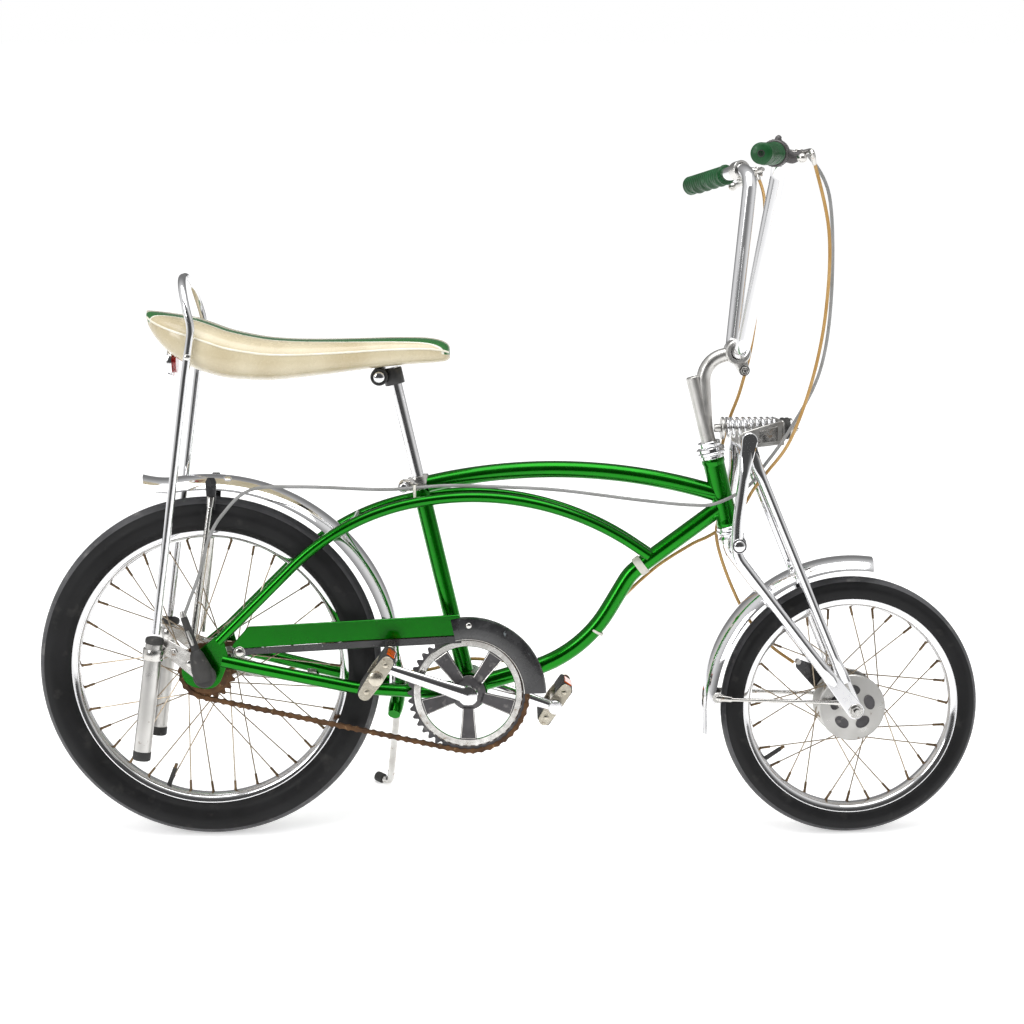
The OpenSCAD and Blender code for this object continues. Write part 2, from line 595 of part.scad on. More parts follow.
module fork_rods() color("silver") turning() both_sides() {
    rod([331, rod_y, 573], [466, rod_y, 249], rod_d);
    translate([331, rod_y, 573]) sphere(d = rod_d + swell);
    slab(rod_plate - 4, rod_plate) difference() {
        union() {
            translate([front_axle.x, front_axle.z]) circle(r = 13);
            polygon([[459, 250], [473, 256], [front_axle.x + 10, front_axle.z + 8],
                [front_axle.x - 10, front_axle.z - 8]]);
            translate([cap.x, cap.z]) circle(r = 10);
            polygon([[325, 570], [338, 576], [330, 608], [311, 604]]);
        }
        translate([front_axle.x, front_axle.z]) circle(d = 9.5 + 2 * clear);
        translate([cap.x, cap.z]) circle(d = 9 + 2 * clear);
    }
}
spring_back = [292, 0, 622];
spring_front = [369, 0, 620];
function coil(n, len, r) = [for (i = [0:n * 12]) let (a = 30 * i)
    spring_back + [len * i / (n * 12), r * cos(a), r * sin(a)]];
module fork_spring() color("silver") turning()
    sweep(coil(spring_turns, spring_front.x - spring_back.x - 2, spring_r - spring_wire / 2), spring_wire, 6);
module spring_yoke() color("silver") turning() {
    both_sides() slab(rod_y - 7, rod_y - 3)
        polygon([[308, 600], [318, 594], [374, 600], [374, 632], [368, 634], [312, 616]]);
    translate([370, -38.5, 598]) cube([4, 77, 36]);
    rod(spring_back + [-17.5, 0, -1], [402, 0, 619.5], 8);
    rod([388.2, 0, 620], [392, 0, 620], 30);
    rod([391.9, 0, 620], [399, 0, 620], 15);
    rod(spring_back + [-7, 0, -1], spring_back + [-2.8, 0, -1], 34);
    both_sides() across(cap, rod_y - 6, leg_y - 3.6, 9);
}
module spring_bumper() color("black") turning() difference() {
    rod([374.1, 0, 620], [388.1, 0, 620], 33);
    rod([370, 0, 620], [390, 0, 620], 8.8);
}

quill_top = head_low + 231 * head_dir;
module stem() color("silver") turning() difference() {
    union() {
        rod(head_low + 40 * head_dir, quill_top, 22.2);
        bent_tube([[[262, 0, 618], 0], [[256, 0, 722], 38], [bar_hub, 0]], 21);
        across(bar_hub, -16, 16, 38);
        translate(bar_hub + [6, 0, -22]) cube([30, 30, 14], center = true);
    }
    translate(bar_hub) rotate([-bar_cant, 0, bar_twist]) translate(-bar_hub)
        across(bar_hub, -22, 22, bar_d + 2 * clear);
}
bar_rise = [[bar_hub, 0], [bar_hub + [0, 44, 0], 26], [[353, bar_half - 176, bar_z + 16], 42],
    [[288, bar_half, bar_z], 0]];
module bar_frame() turning() translate(bar_hub) rotate([-bar_cant, 0, bar_twist]) translate(-bar_hub) children();
module handlebar() color("silver") bar_frame() both_sides() bent_tube(bar_rise, bar_d);
bar_out = unit(bar_rise[3][0] - bar_rise[2][0]);
bar_end = bar_rise[3][0];
module grips() color("darkgreen") bar_frame() both_sides() difference() {
    rod(bar_end - grip_len * bar_out, bar_end + 3 * bar_out, grip_d);
    rod(bar_end - (grip_len + 1) * bar_out, bar_end, bar_d);
}
module brake_levers() color("silver") bar_frame() both_sides() {
    pivot = bar_end - (grip_len + 40) * bar_out + [30, 0, -2];
    tip = bar_end - 30 * bar_out + [52, 0, -6];
    difference() {
        rod(bar_end - (grip_len + 48) * bar_out, bar_end - (grip_len + 30) * bar_out, bar_d + 8);
        rod(bar_end - (grip_len + 50) * bar_out, bar_end - (grip_len + 28) * bar_out, bar_d);
    }
    rod(bar_end - (grip_len + 39) * bar_out + [11, 0, 0], pivot, 14);
    rod(pivot, tip, 9);
    translate(tip) sphere(d = 14);
}
module twist_shifter() color("dimgray") bar_frame() mirror([0, 1, 0]) difference() {
    union() {
        rod(bar_end - (grip_len + 24) * bar_out, bar_end - (grip_len + 2) * bar_out, 40);
        rod(bar_end - (grip_len + 14) * bar_out, bar_end - (grip_len + 14) * bar_out + [0, 0, 30], 12);
    }
    rod(bar_end - (grip_len + 25) * bar_out, bar_end - grip_len * bar_out, bar_d);
}
// Where a front rod passes the fender's edge: two tabs reach from the fender to the rods
tab_t = 0.53;
tab_at = [331 + 135 * tab_t, 573 - 324 * tab_t];
module front_fender() color("silver") turning() {
    translate(front_axle) fender(front_fender_r, front_section_r, 82, 190);
    both_sides() slab(28.4, rod_y - rod_d / 2 - clear) translate(tab_at) circle(r = 7);
}
front_edge_y = edge_y(front_section_r) + 0.1;
module front_fender_braces() color("silver") turning() both_sides() {
    slab(front_edge_y, front_edge_y + 2.4) translate([279, 216]) circle(r = 8);
    bent_tube([[[280, 35, 216], 0], [[300, 36.6, 214], 30], [[468, 37.4, 207], 0]], 6);
    slab(rod_plate - 7, rod_plate - 4.1) difference() {
        union() {
            translate([front_axle.x, front_axle.z]) circle(r = 9);
            translate([464, front_axle.z - 4]) square([18, 8]);
        }
        translate([front_axle.x, front_axle.z]) circle(d = 9.5 + 2 * clear);
    }
}
module front_axle_bar() color("silver") turning() {
    across(front_axle, -leg_y - 18, leg_y + 18, 9.5);
    both_sides() across(front_axle, leg_y + 3.2, leg_y + 12, 17);
}
module front_brake_arm() color("silver") turning() {
    slab(31.4, 33.9) difference() {
        union() {
            translate([front_axle.x, front_axle.z]) circle(r = 46);
            polygon([[front_axle.x - 10, front_axle.z + 40], [front_axle.x - 46, front_axle.z + 8],
                [front_axle.x - 74, front_axle.z + 50], [front_axle.x - 62, front_axle.z + 60]]);
        }
        translate([front_axle.x, front_axle.z]) circle(d = 9.5 + 2 * clear);
    }
}

// Cables, along their real routes at rest in the bicycle's frame
function between(p, q, r, s, t) = (2 * q + (r - p) * t + (2 * p - 5 * q + 4 * r - s) * t * t
    + (3 * q - p - 3 * r + s) * t * t * t) / 2;
function smooth(rows, n) = [for (i = [0:len(rows) - 2], k = [0:n - 1])
    between(rows[max(i - 1, 0)], rows[i], rows[i + 1], rows[min(i + 2, len(rows) - 1)], k / n)];
function barred(p) = bar_hub + turn_about(turn_about(p - bar_hub, [1, 0, 0], -bar_cant), [0, 0, 1], bar_twist);
cable_d = 5;
shift_start = steered(barred(mirror_y(bar_end - (grip_len + 14) * bar_out))) + [42, 6, 4];
shift_route = [shift_start, shift_start + [37, 10, -63], [429, -140, 833], [420, -95, 715], [382, -53, 624],
    [346, -22, 564], [322, -23, 534], [277, -27, 511], [238, -24, 508], [163, -22, 515], [43, -22, 530],
    [-46, -22, 535], [-121, -22, 537], [-174, -24, 534], [-226, -30, 532], [-343, -46, 538], [-416, -62, 535],
    [-456, -76, 500], [-476, -84, 464], [-488, -85, 419], [-505, -85, 374], [-514, -85, 350]];
rear_brake_route = [[388, -215, 1028], [417, -190, 920], [420, -150, 805], [407, -110, 702], [382, -60, 609],
    [352, -20, 556], [334, -10, 530], [323, 6, 506], [311, 25, 485], [291, 30, 466], [268, 29, 452],
    [242, 26, 440], [189, 21, 406], [136, 20, 356], [106, 20, 313], [52, 21, 270], [0, 22, 260], [-50, 24, 262],
    [-98, 24, 264], [-150, 34, 247], [-190, 41, 241], [-230, 47, 243], [-262, 54, 242], [-309, 59, 248],
    [-350, 62, 247], [-380, 54, 240], [-393, 49.6, 237]];
front_brake_route = [[353, 178, 996], [361, 148, 950], [348, 80, 839], [333, 42, 743], [316, 31, 676],
    [300, 30, 631], [288, 34, 577], [291, 38, 508], [284, 42, 445], [318, 50, 351], [361, 52, 288], [404, 38, 256]];
module shift_cable() color("gray") leaning() sweep(smooth(shift_route, 4), cable_d, 8);
module rear_brake_cable() color("tan") leaning() sweep(smooth(rear_brake_route, 4), cable_d, 8);
module front_brake_cable() color("tan") leaning() sweep(smooth(front_brake_route, 5), cable_d, 8);

frame();
headset_cups();
tube_band();
seat_post();
seat_binder();
seat_clamp();
seat();
rear_reflector();
seat_loop();
shock_bodies();
shock_caps();
shock_brackets();
rear_fender();
rear_fender_braces();
chain_guard();
guard_hood();
chain();
rear_brake_arm();
shift_boot();
rear_axle_bar();  // rear_axle
bracket_cups();
kickstand();
kickstand_tip();
crank();
chainring();
right_pedal_cage();
right_pedal_rubbers();
left_pedal_cage();
left_pedal_rubbers();
rear_tyre();
rear_rim();
rear_spokes();
rear_hub();
rear_sprocket();
front_tyre();
front_rim();
front_spokes();
front_hub();
fork_crown();
fork_legs();
fork_rods();
fork_spring();
spring_yoke();
spring_bumper();
stem();
handlebar();
grips();
brake_levers();
twist_shifter();
front_fender();
front_fender_braces();
front_axle_bar();  // front_axle
front_brake_arm();
shift_cable();
rear_brake_cable();
front_brake_cable();
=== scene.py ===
"""Chopper bicycle: the looks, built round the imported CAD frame.

Shapes are worked out in the bicycle's own frame in millimetres (X forward, Y to the rider's left,
Z up from the ground line), then leaned, turned and moved into the row frame in metres.
"""
import bpy
import bmesh
import json
import numpy as np
from math import radians
from mathutils import Matrix


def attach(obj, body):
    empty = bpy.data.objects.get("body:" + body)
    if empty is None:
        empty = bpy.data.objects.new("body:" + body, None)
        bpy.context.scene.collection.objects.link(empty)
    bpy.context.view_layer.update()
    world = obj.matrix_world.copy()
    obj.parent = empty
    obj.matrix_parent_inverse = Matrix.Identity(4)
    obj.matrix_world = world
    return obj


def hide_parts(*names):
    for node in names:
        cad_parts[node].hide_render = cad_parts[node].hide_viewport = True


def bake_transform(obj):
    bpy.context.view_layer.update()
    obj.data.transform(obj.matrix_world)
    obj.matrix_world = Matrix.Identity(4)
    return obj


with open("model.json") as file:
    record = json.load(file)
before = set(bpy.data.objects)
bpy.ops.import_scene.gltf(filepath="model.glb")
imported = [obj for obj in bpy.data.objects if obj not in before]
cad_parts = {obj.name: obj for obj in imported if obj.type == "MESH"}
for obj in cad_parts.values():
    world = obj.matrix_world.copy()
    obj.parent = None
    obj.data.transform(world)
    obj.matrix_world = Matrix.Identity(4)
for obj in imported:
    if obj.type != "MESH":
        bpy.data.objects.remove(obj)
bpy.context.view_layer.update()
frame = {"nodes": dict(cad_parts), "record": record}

# Stance, as in the CAD source
LEAN, STEER, RAKE = radians(8), radians(4), radians(14)
CANT, TWIST = radians(-3.4), radians(1.4)
ORIGIN = np.array([-31.0, 156.8433, -0.2628])
HEAD_LOW = np.array([298.0, 0, 474])
HEAD_DIR = np.array([-np.sin(RAKE), 0, np.cos(RAKE)])
REAR_AXLE = np.array([-485.0, 0, 259])
FRONT_AXLE = np.array([485.0, 0, 197.684])
BB = np.array([-94.0, 0, 226])
SEAT_DIR = np.array([-0.230, 0, 0.973])
POST_FOOT = BB + 326 * SEAT_DIR
POST_TOP = BB + 500 * SEAT_DIR
BAR_HUB = np.array([308.0, 0, 735])
CAP = np.array([320.0, 52, 606])
X, Y, Z = np.eye(3)


# Placing
def turn(v, axis, angle):
    """v turned about an axis through the origin: v cos + (axis x v) sin + axis (axis . v)(1 - cos)."""
    v = np.asarray(v, float)
    along = (v @ axis)[..., None] * axis
    return v * np.cos(angle) + np.cross(axis, v) * np.sin(angle) + along * (1 - np.cos(angle))


def placed(p):
    """Leans a point of the bicycle's frame, moves it to the row's origin and gives it in metres."""
    return (turn(p, X, -LEAN) - ORIGIN) / 1000


def steered(p):
    return HEAD_LOW + turn(np.asarray(p, float) - HEAD_LOW, HEAD_DIR, STEER)


def barred(p):
    return BAR_HUB + turn(turn(np.asarray(p, float) - BAR_HUB, X, CANT), Z, TWIST)


SPACES = {
    "frame": placed,
    "fork": lambda p: placed(steered(p)),
    "bar": lambda p: placed(steered(barred(p))),
}


def unit(v):
    v = np.asarray(v, float)
    return v / np.linalg.norm(v, axis=-1, keepdims=True)


def mirrored(p):
    return np.asarray(p, float) * [1, -1, 1]


# Paths
def smooth(points, n=8):
    """A Catmull-Rom curve through the points, n steps between each two."""
    p = np.asarray(points, float)
    q = np.vstack([p[:1], p, p[-1:]])
    t = (np.arange(n) / n)[None, :, None]
    a, b, c, d = (q[i:len(q) - 3 + i, None, :] for i in range(4))
    curve = (2 * b + (c - a) * t + (2 * a - 5 * b + 4 * c - d) * t**2 + (3 * b - a - 3 * c + d) * t**3) / 2
    return np.vstack([curve.reshape(-1, 3), p[-1:]])


def bent(rows, step=5.0):
    """A path of straight lines whose corners are arcs: rows are (point, bend radius)."""
    out = [np.asarray(rows[0][0], float)[None]]
    for (a, _), (b, r), (c, _) in zip(rows, rows[1:], rows[2:]):
        a, b, c = (np.asarray(q, float) for q in (a, b, c))
        u, w = unit(a - b), unit(c - b)
        half = np.arccos(np.clip(u @ w, -1, 1)) / 2
        mid = b + unit(u + w) * r / np.sin(half)
        x = unit(b + u * r / np.tan(half) - mid)
        y = unit(w - (w @ x) * x)
        t = np.linspace(0, np.pi - 2 * half, max(6, int(np.degrees(np.pi - 2 * half) / step)))[:, None]
        out.append(mid + r * (x * np.cos(t) + y * np.sin(t)))
    out.append(np.asarray(rows[-1][0], float)[None])
    return np.vstack(out)


def arc(centre, r, a0, a1, n=40):
    """Points on a circle in the X-Z plane, angles in degrees."""
    t = np.radians(np.linspace(a0, a1, n))[:, None]
    return np.asarray(centre, float) + r * (X * np.cos(t) + Z * np.sin(t))


def straight(a, b, n=2):
    t = np.linspace(0, 1, n)[:, None]
    return np.asarray(a, float) * (1 - t) + np.asarray(b, float) * t


# Shapes
class Shape:
    """Collects grids of points into one mesh, with a place for each face's texture and material."""

    def __init__(self):
        self.points, self.quads, self.caps, self.uvs, self.slots = [], [], [], [], []
        self.count = 0

    def grid(self, g, wrap=True, ends=True, mat=0, uv=None):
        """Joins rows of points by four-sided faces; wrap closes each row, ends close the first and last."""
        g = np.asarray(g, float)
        n, m = g.shape[:2]
        if uv is None:
            uv = np.stack(np.meshgrid(np.linspace(0, 1, n), np.linspace(0, 1, m + wrap), indexing="ij"), -1)
        i = np.arange(n - 1)[:, None]
        j = np.arange(m if wrap else m - 1)[None, :]
        k = (j + 1) % m
        quads = np.stack([i * m + j, i * m + k, (i + 1) * m + k, (i + 1) * m + j], -1).reshape(-1, 4)
        corner = np.stack([uv[i, j], uv[i, j + 1], uv[i + 1, j + 1], uv[i + 1, j]], 2).reshape(-1, 4, 2)
        self.quads.append((quads + self.count, corner, mat))
        if ends and wrap:
            self.caps.append((np.arange(m)[::-1] + self.count, uv[0, :m][::-1], mat))
            self.caps.append((np.arange(m) + (n - 1) * m + self.count, uv[-1, :m], mat))
        self.points.append(g.reshape(-1, 3))
        self.count += n * m
        return self

    def tube(self, path, radius, sides=24, ref=Y, mat=0, ends=True, phase=0.0):
        """A tube: rings round a path, their directions from one reference vector; radius may be rows of
        one or two numbers, along the reference and across it."""
        p = np.asarray(path, float)
        t = unit(np.gradient(p, axis=0))
        ref = np.broadcast_to(np.asarray(ref, float), p.shape)
        n1 = unit(ref - t * np.sum(ref * t, -1, keepdims=True))
        n2 = np.cross(t, n1)
        r = np.broadcast_to(np.asarray(radius, float).T if np.ndim(radius) == 2 else radius, (2, len(p)))
        a = np.linspace(0, 2 * np.pi, sides, endpoint=False)[None, :, None] + phase
        g = p[:, None] + r[0][:, None, None] * np.cos(a) * n1[:, None] + r[1][:, None, None] * np.sin(a) * n2[:, None]
        d = np.concatenate([[0], np.cumsum(np.linalg.norm(np.diff(p, axis=0), axis=1))]) / 100
        uv = np.stack(np.broadcast_arrays(d[:, None], np.linspace(0, 1, sides + 1)[None]), -1)
        return self.grid(g, mat=mat, ends=ends, uv=uv)

    def lathe(self, profile, origin, axis, sides=32, ref=X, mat=0, ring=False):
        """A turned shape: rows of (radius, height) swept round an axis. ring closes the profile on itself."""
        profile = np.asarray(profile, float)
        axis = unit(axis)
        ref = np.asarray(ref, float)
        ref = ref if abs(unit(ref) @ axis) < 0.9 else Z
        n1 = unit(ref - axis * (ref @ axis))
        n2 = np.cross(axis, n1)
        a = np.linspace(0, 2 * np.pi, sides, endpoint=False)[:, None]
        spoke = np.cos(a) * n1 + np.sin(a) * n2
        g = np.asarray(origin, float) + profile[:, 0, None, None] * spoke + profile[:, 1, None, None] * axis
        if not ring:
            return self.grid(g, mat=mat)
        g = np.vstack([g, g[:1]])
        return self.grid(g, mat=mat, ends=False)

    def plate(self, outline, y0, y1, bevel=0.6, mat=0, plane=(X, Z, Y), at=(0, 0, 0)):
        """A flat outline with a thickness and softened edges, in the X-Z plane unless told otherwise."""
        o = np.asarray(outline, float)
        edge = np.roll(o, -1, 0) - np.roll(o, 1, 0)
        side = np.stack([edge[:, 1], -edge[:, 0]], -1)
        area = np.sum(o[:, 0] * np.roll(o[:, 1], -1) - np.roll(o[:, 0], -1) * o[:, 1])
        side = unit(side) * np.sign(area)
        u, v, w = (np.asarray(q, float) for q in plane)
        rows = [(o - side * bevel, y0), (o, y0 + np.sign(y1 - y0) * bevel), (o, y1 - np.sign(y1 - y0) * bevel),
                (o - side * bevel, y1)]
        g = np.stack([p[:, :1] * u + p[:, 1:] * v + h * w for p, h in rows]) + np.asarray(at, float)
        return self.grid(g, mat=mat)

    def build(self, name, space, materials, angle=34):
        """Makes the mesh in the row frame, with outward faces, smooth where the shape is smooth."""
        place = SPACES[space]
        verts = place(np.vstack(self.points))
        faces = [f for q, _, _ in self.quads for f in q.tolist()] + [c.tolist() for c, _, _ in self.caps]
        uv = np.vstack([c.reshape(-1, 2) for _, c, _ in self.quads] + [u for _, u, _ in self.caps])
        slots = np.concatenate([np.full(len(q), m) for q, _, m in self.quads] + [[m] for _, _, m in self.caps])
        mesh = bpy.data.meshes.new(name)
        mesh.from_pydata(verts.tolist(), [], faces)
        mesh.uv_layers.new(name="UVMap").data.foreach_set("uv", uv.astype(np.float32).ravel())
        mesh.polygons.foreach_set("material_index", slots.astype(np.int32))
        bm = bmesh.new()
        bm.from_mesh(mesh)
        bmesh.ops.remove_doubles(bm, verts=bm.verts, dist=1e-6)
        bmesh.ops.recalc_face_normals(bm, faces=bm.faces)
        bm.to_mesh(mesh)
        bm.free()
        mesh.shade_smooth()
        mesh.set_sharp_from_angle(angle=radians(angle))
        for m in materials:
            mesh.materials.append(m)
        obj = bpy.data.objects.new(name, mesh)
        bpy.context.scene.collection.objects.link(obj)
        return obj


def circle(cx, cz, r, n=40, a0=0.0):
    t = np.linspace(0, 2 * np.pi, n, endpoint=False) + a0
    return np.stack([cx + r * np.cos(t), cz + r * np.sin(t)], -1)


def hull(circles, n=96):
    """The outline of a belt round some circles: in each direction, the circle that reaches furthest."""
    c = np.asarray(circles, float)
    t = np.linspace(0, 2 * np.pi, n, endpoint=False)
    u = np.stack([np.cos(t), np.sin(t)], -1)
    best = np.argmax(u @ c[:, :2].T + c[:, 2], axis=1)
    return c[best, :2] + c[best, 2:] * u


def bolt(shape, at, axis, r=6.5, h=5.0, mat=0, dome=True, washer=0.0):
    """A six-sided or domed bolt head standing on a surface, with a washer under it."""
    axis = unit(axis)
    at = np.asarray(at, float)
    if washer:
        shape.lathe([(0.1, 0), (washer - 0.3, 0), (washer, 0.4), (washer, 1.0), (washer - 0.4, 1.4), (0.1, 1.4)],
                    at, axis, 24, mat=mat)
        at = at + 1.3 * axis
    if dome:
        t = np.linspace(0, np.pi / 2, 6)
        rows = [(0.1, 0), (r, 0), (r, h * 0.35)] + [(max(r * np.cos(q), 0.1), h * (0.35 + 0.65 * np.sin(q))) for q in t]
        shape.lathe(rows, at, axis, 20, mat=mat)
    else:
        shape.lathe([(0.1, 0), (r, 0), (r, h * 0.8), (r * 0.86, h), (0.1, h)], at, axis, 6, mat=mat)
        shape.lathe([(0.1, h), (r * 0.5, h), (r * 0.5, h + 2.2), (r * 0.42, h + 2.6), (0.1, h + 2.6)], at, axis, 16, mat=mat)


# Materials
def finish(name, colour, metal=0.0, rough=0.4, vary=None, vary_scale=6.0, vary_amount=0.5, grain=(900, 0.02),
           dents=(40, 0.0), coat=0.0, sheen=0.0, rough_vary=0.08, specular=0.5, marks=None, marks_scale=60.0,
           marks_cut=(0.62, 0.75), coords="Object", stretch=(1, 1, 1)):
    """A finish: a base colour clouded towards a second one, worn or dusty marks, uneven gloss, and a fine
    grain over larger dents in the bump."""
    m = bpy.data.materials.new(name)
    m.use_nodes = True
    nodes, links = m.node_tree.nodes, m.node_tree.links
    shader = nodes["Principled BSDF"]
    shader.inputs["Metallic"].default_value = metal
    shader.inputs["Coat Weight"].default_value = coat
    shader.inputs["Coat Roughness"].default_value = 0.06
    shader.inputs["Sheen Weight"].default_value = sheen
    shader.inputs["Specular IOR Level"].default_value = specular
    where = nodes.new("ShaderNodeTexCoord")
    mapping = nodes.new("ShaderNodeMapping")
    mapping.inputs["Scale"].default_value = stretch
    links.new(where.outputs[coords], mapping.inputs["Vector"])

    def noise(scale, detail=3.0):
        n = nodes.new("ShaderNodeTexNoise")
        n.inputs["Scale"].default_value = scale
        n.inputs["Detail"].default_value = detail
        links.new(mapping.outputs["Vector"], n.inputs["Vector"])
        return n.outputs["Fac"]

    def ranged(source, a0, a1, b0, b1):
        n = nodes.new("ShaderNodeMapRange")
        n.inputs["From Min"].default_value = a0
        n.inputs["From Max"].default_value = a1
        n.inputs["To Min"].default_value = b0
        n.inputs["To Max"].default_value = b1
        links.new(source, n.inputs["Value"])
        return n.outputs["Result"]

    def mixed(factor, a, b):
        n = nodes.new("ShaderNodeMix")
        n.data_type = "RGBA"
        links.new(factor, n.inputs["Factor"])
        for socket, value in ((n.inputs["A"], a), (n.inputs["B"], b)):
            if hasattr(value, "is_linked"):
                links.new(value, socket)
            else:
                socket.default_value = (*value, 1)
        return n.outputs["Result"]

    second = vary or tuple(c * 0.75 for c in colour)
    cloud = noise(vary_scale, 5.0)
    tone = mixed(ranged(cloud, 0.35, 0.7, 0.0, vary_amount), colour, second)
    gloss = ranged(noise(vary_scale * 4, 4.0), 0.3, 0.7, max(rough - rough_vary, 0.02), min(rough + rough_vary, 1.0))
    if marks:
        spots = ranged(noise(marks_scale, 6.0), *marks_cut, 0.0, 1.0)
        tone = mixed(spots, tone, marks)
    links.new(tone, shader.inputs["Base Color"])
    links.new(gloss, shader.inputs["Roughness"])
    fine = nodes.new("ShaderNodeBump")
    fine.inputs["Strength"].default_value = grain[1]
    fine.inputs["Distance"].default_value = 0.001
    links.new(noise(grain[0], 2.0), fine.inputs["Height"])
    if dents[1]:
        large = nodes.new("ShaderNodeBump")
        large.inputs["Strength"].default_value = dents[1]
        large.inputs["Distance"].default_value = 0.002
        links.new(noise(dents[0], 2.0), large.inputs["Height"])
        links.new(large.outputs["Normal"], fine.inputs["Normal"])
    links.new(fine.outputs["Normal"], shader.inputs["Normal"])
    return m


chrome = finish("bright_chrome", (0.86, 0.86, 0.87), 1.0, 0.07, (0.74, 0.74, 0.76), 18, 0.5, (700, 0.015), (30, 0.02),
                rough_vary=0.035, marks=(0.5, 0.46, 0.42), marks_scale=160, marks_cut=(0.70, 0.78))
worn_chrome = finish("worn_chrome", (0.72, 0.71, 0.69), 1.0, 0.2, (0.5, 0.48, 0.45), 30, 0.8, (600, 0.05), (60, 0.05),
                     rough_vary=0.1, marks=(0.3, 0.2, 0.12), marks_scale=120, marks_cut=(0.64, 0.74))
satin_alloy = finish("satin_alloy", (0.62, 0.61, 0.59), 1.0, 0.34, (0.45, 0.44, 0.42), 14, 0.7, (500, 0.06),
                     marks=(0.25, 0.2, 0.16), marks_scale=90, marks_cut=(0.66, 0.76))
candy = finish("candy_green", (0.0, 0.21, 0.0), 0.95, 0.2, (0.0, 0.12, 0.001), 7, 0.6, (2600, 0.05), coat=0.35,
               marks=(0.04, 0.42, 0.03), marks_scale=260, marks_cut=(0.73, 0.77))
black_gloss = finish("black_enamel", (0.013, 0.013, 0.014), 0.0, 0.22, (0.04, 0.04, 0.042), 20, 0.9, (400, 0.08),
                     coat=0.6, rough_vary=0.14, marks=(0.16, 0.18, 0.19), marks_scale=70, marks_cut=(0.68, 0.72))
black_plastic = finish("black_plastic", (0.018, 0.018, 0.018), 0.0, 0.4, (0.035, 0.035, 0.035), 25, 0.8, (800, 0.1))
shifter_grey = finish("shifter_grey", (0.12, 0.115, 0.115), 0.5, 0.4, (0.06, 0.055, 0.055), 40, 0.9, (600, 0.15),
                      marks=(0.3, 0.3, 0.3), marks_scale=140, marks_cut=(0.62, 0.7))
tyre_rubber = finish("tyre_rubber", (0.009, 0.009, 0.0095), 0.0, 0.45, (0.017, 0.017, 0.018), 12, 0.9, (900, 0.16),
                     (26, 0.05), specular=0.18, marks=(0.035, 0.034, 0.032), marks_scale=34, marks_cut=(0.6, 0.8))
tread_rubber = finish("worn_tread", (0.085, 0.085, 0.09), 0.0, 0.6, (0.035, 0.035, 0.037), 16, 0.9, (700, 0.25),
                      (50, 0.12), marks=(0.2, 0.195, 0.19), marks_scale=40, marks_cut=(0.6, 0.78))
rubber = finish("moulded_rubber", (0.02, 0.02, 0.02), 0.0, 0.6, (0.05, 0.048, 0.045), 30, 0.8, (900, 0.2),
                marks=(0.11, 0.1, 0.09), marks_scale=80, marks_cut=(0.62, 0.74))
grip_green = finish("grip_green", (0.005, 0.052, 0.012), 0.0, 0.36, (0.012, 0.1, 0.03), 30, 0.9, (700, 0.12), coat=0.1,
                    specular=0.3, marks=(0.12, 0.24, 0.14), marks_scale=60, marks_cut=(0.66, 0.8))
rusty = finish("rusty_steel", (0.075, 0.04, 0.022), 0.55, 0.6, (0.17, 0.085, 0.035), 60, 1.0, (500, 0.35), (90, 0.2),
               marks=(0.32, 0.2, 0.1), marks_scale=150, marks_cut=(0.6, 0.72))
ring_grey = finish("dark_ring_grey", (0.105, 0.1, 0.105), 0.5, 0.42, (0.06, 0.057, 0.06), 26, 0.9, (500, 0.2),
                   marks=(0.24, 0.23, 0.22), marks_scale=75, marks_cut=(0.6, 0.74))
wire = finish("spoke_wire", (0.42, 0.36, 0.28), 0.9, 0.3, (0.26, 0.19, 0.12), 40, 0.9, (600, 0.05))
nipple = finish("tarnished_brass", (0.2, 0.135, 0.075), 0.85, 0.42, (0.1, 0.065, 0.04), 90, 0.9, (600, 0.1))
nickel = finish("worn_nickel", (0.6, 0.56, 0.47), 1.0, 0.28, (0.42, 0.38, 0.3), 40, 0.9, (500, 0.1),
                marks=(0.22, 0.16, 0.1), marks_scale=130, marks_cut=(0.62, 0.74))
amber = finish("amber_lens", (0.95, 0.16, 0.012), 0.0, 0.2, (0.7, 0.08, 0.005), 120, 0.8, (300, 0.3), coat=1.0)
lens_red = finish("red_lens", (0.5, 0.012, 0.01), 0.0, 0.18, (0.25, 0.004, 0.004), 200, 0.9, (260, 0.5), coat=1.0)
grey_casing = finish("grey_casing", (0.3, 0.3, 0.3), 0.1, 0.4, (0.22, 0.22, 0.21), 40, 0.9, (900, 0.08))
gold_casing = finish("gold_casing", (0.42, 0.23, 0.055), 0.15, 0.38, (0.56, 0.36, 0.14), 30, 0.9, (900, 0.08))
ivory = finish("ivory_tie", (0.75, 0.73, 0.66), 0.0, 0.45, (0.6, 0.58, 0.5), 60, 0.7, (500, 0.1))
pipe_cream = finish("piping_cream", (0.9, 0.87, 0.76), 0.0, 0.3, (0.78, 0.72, 0.56), 40, 0.8, (900, 0.08), coat=0.4)


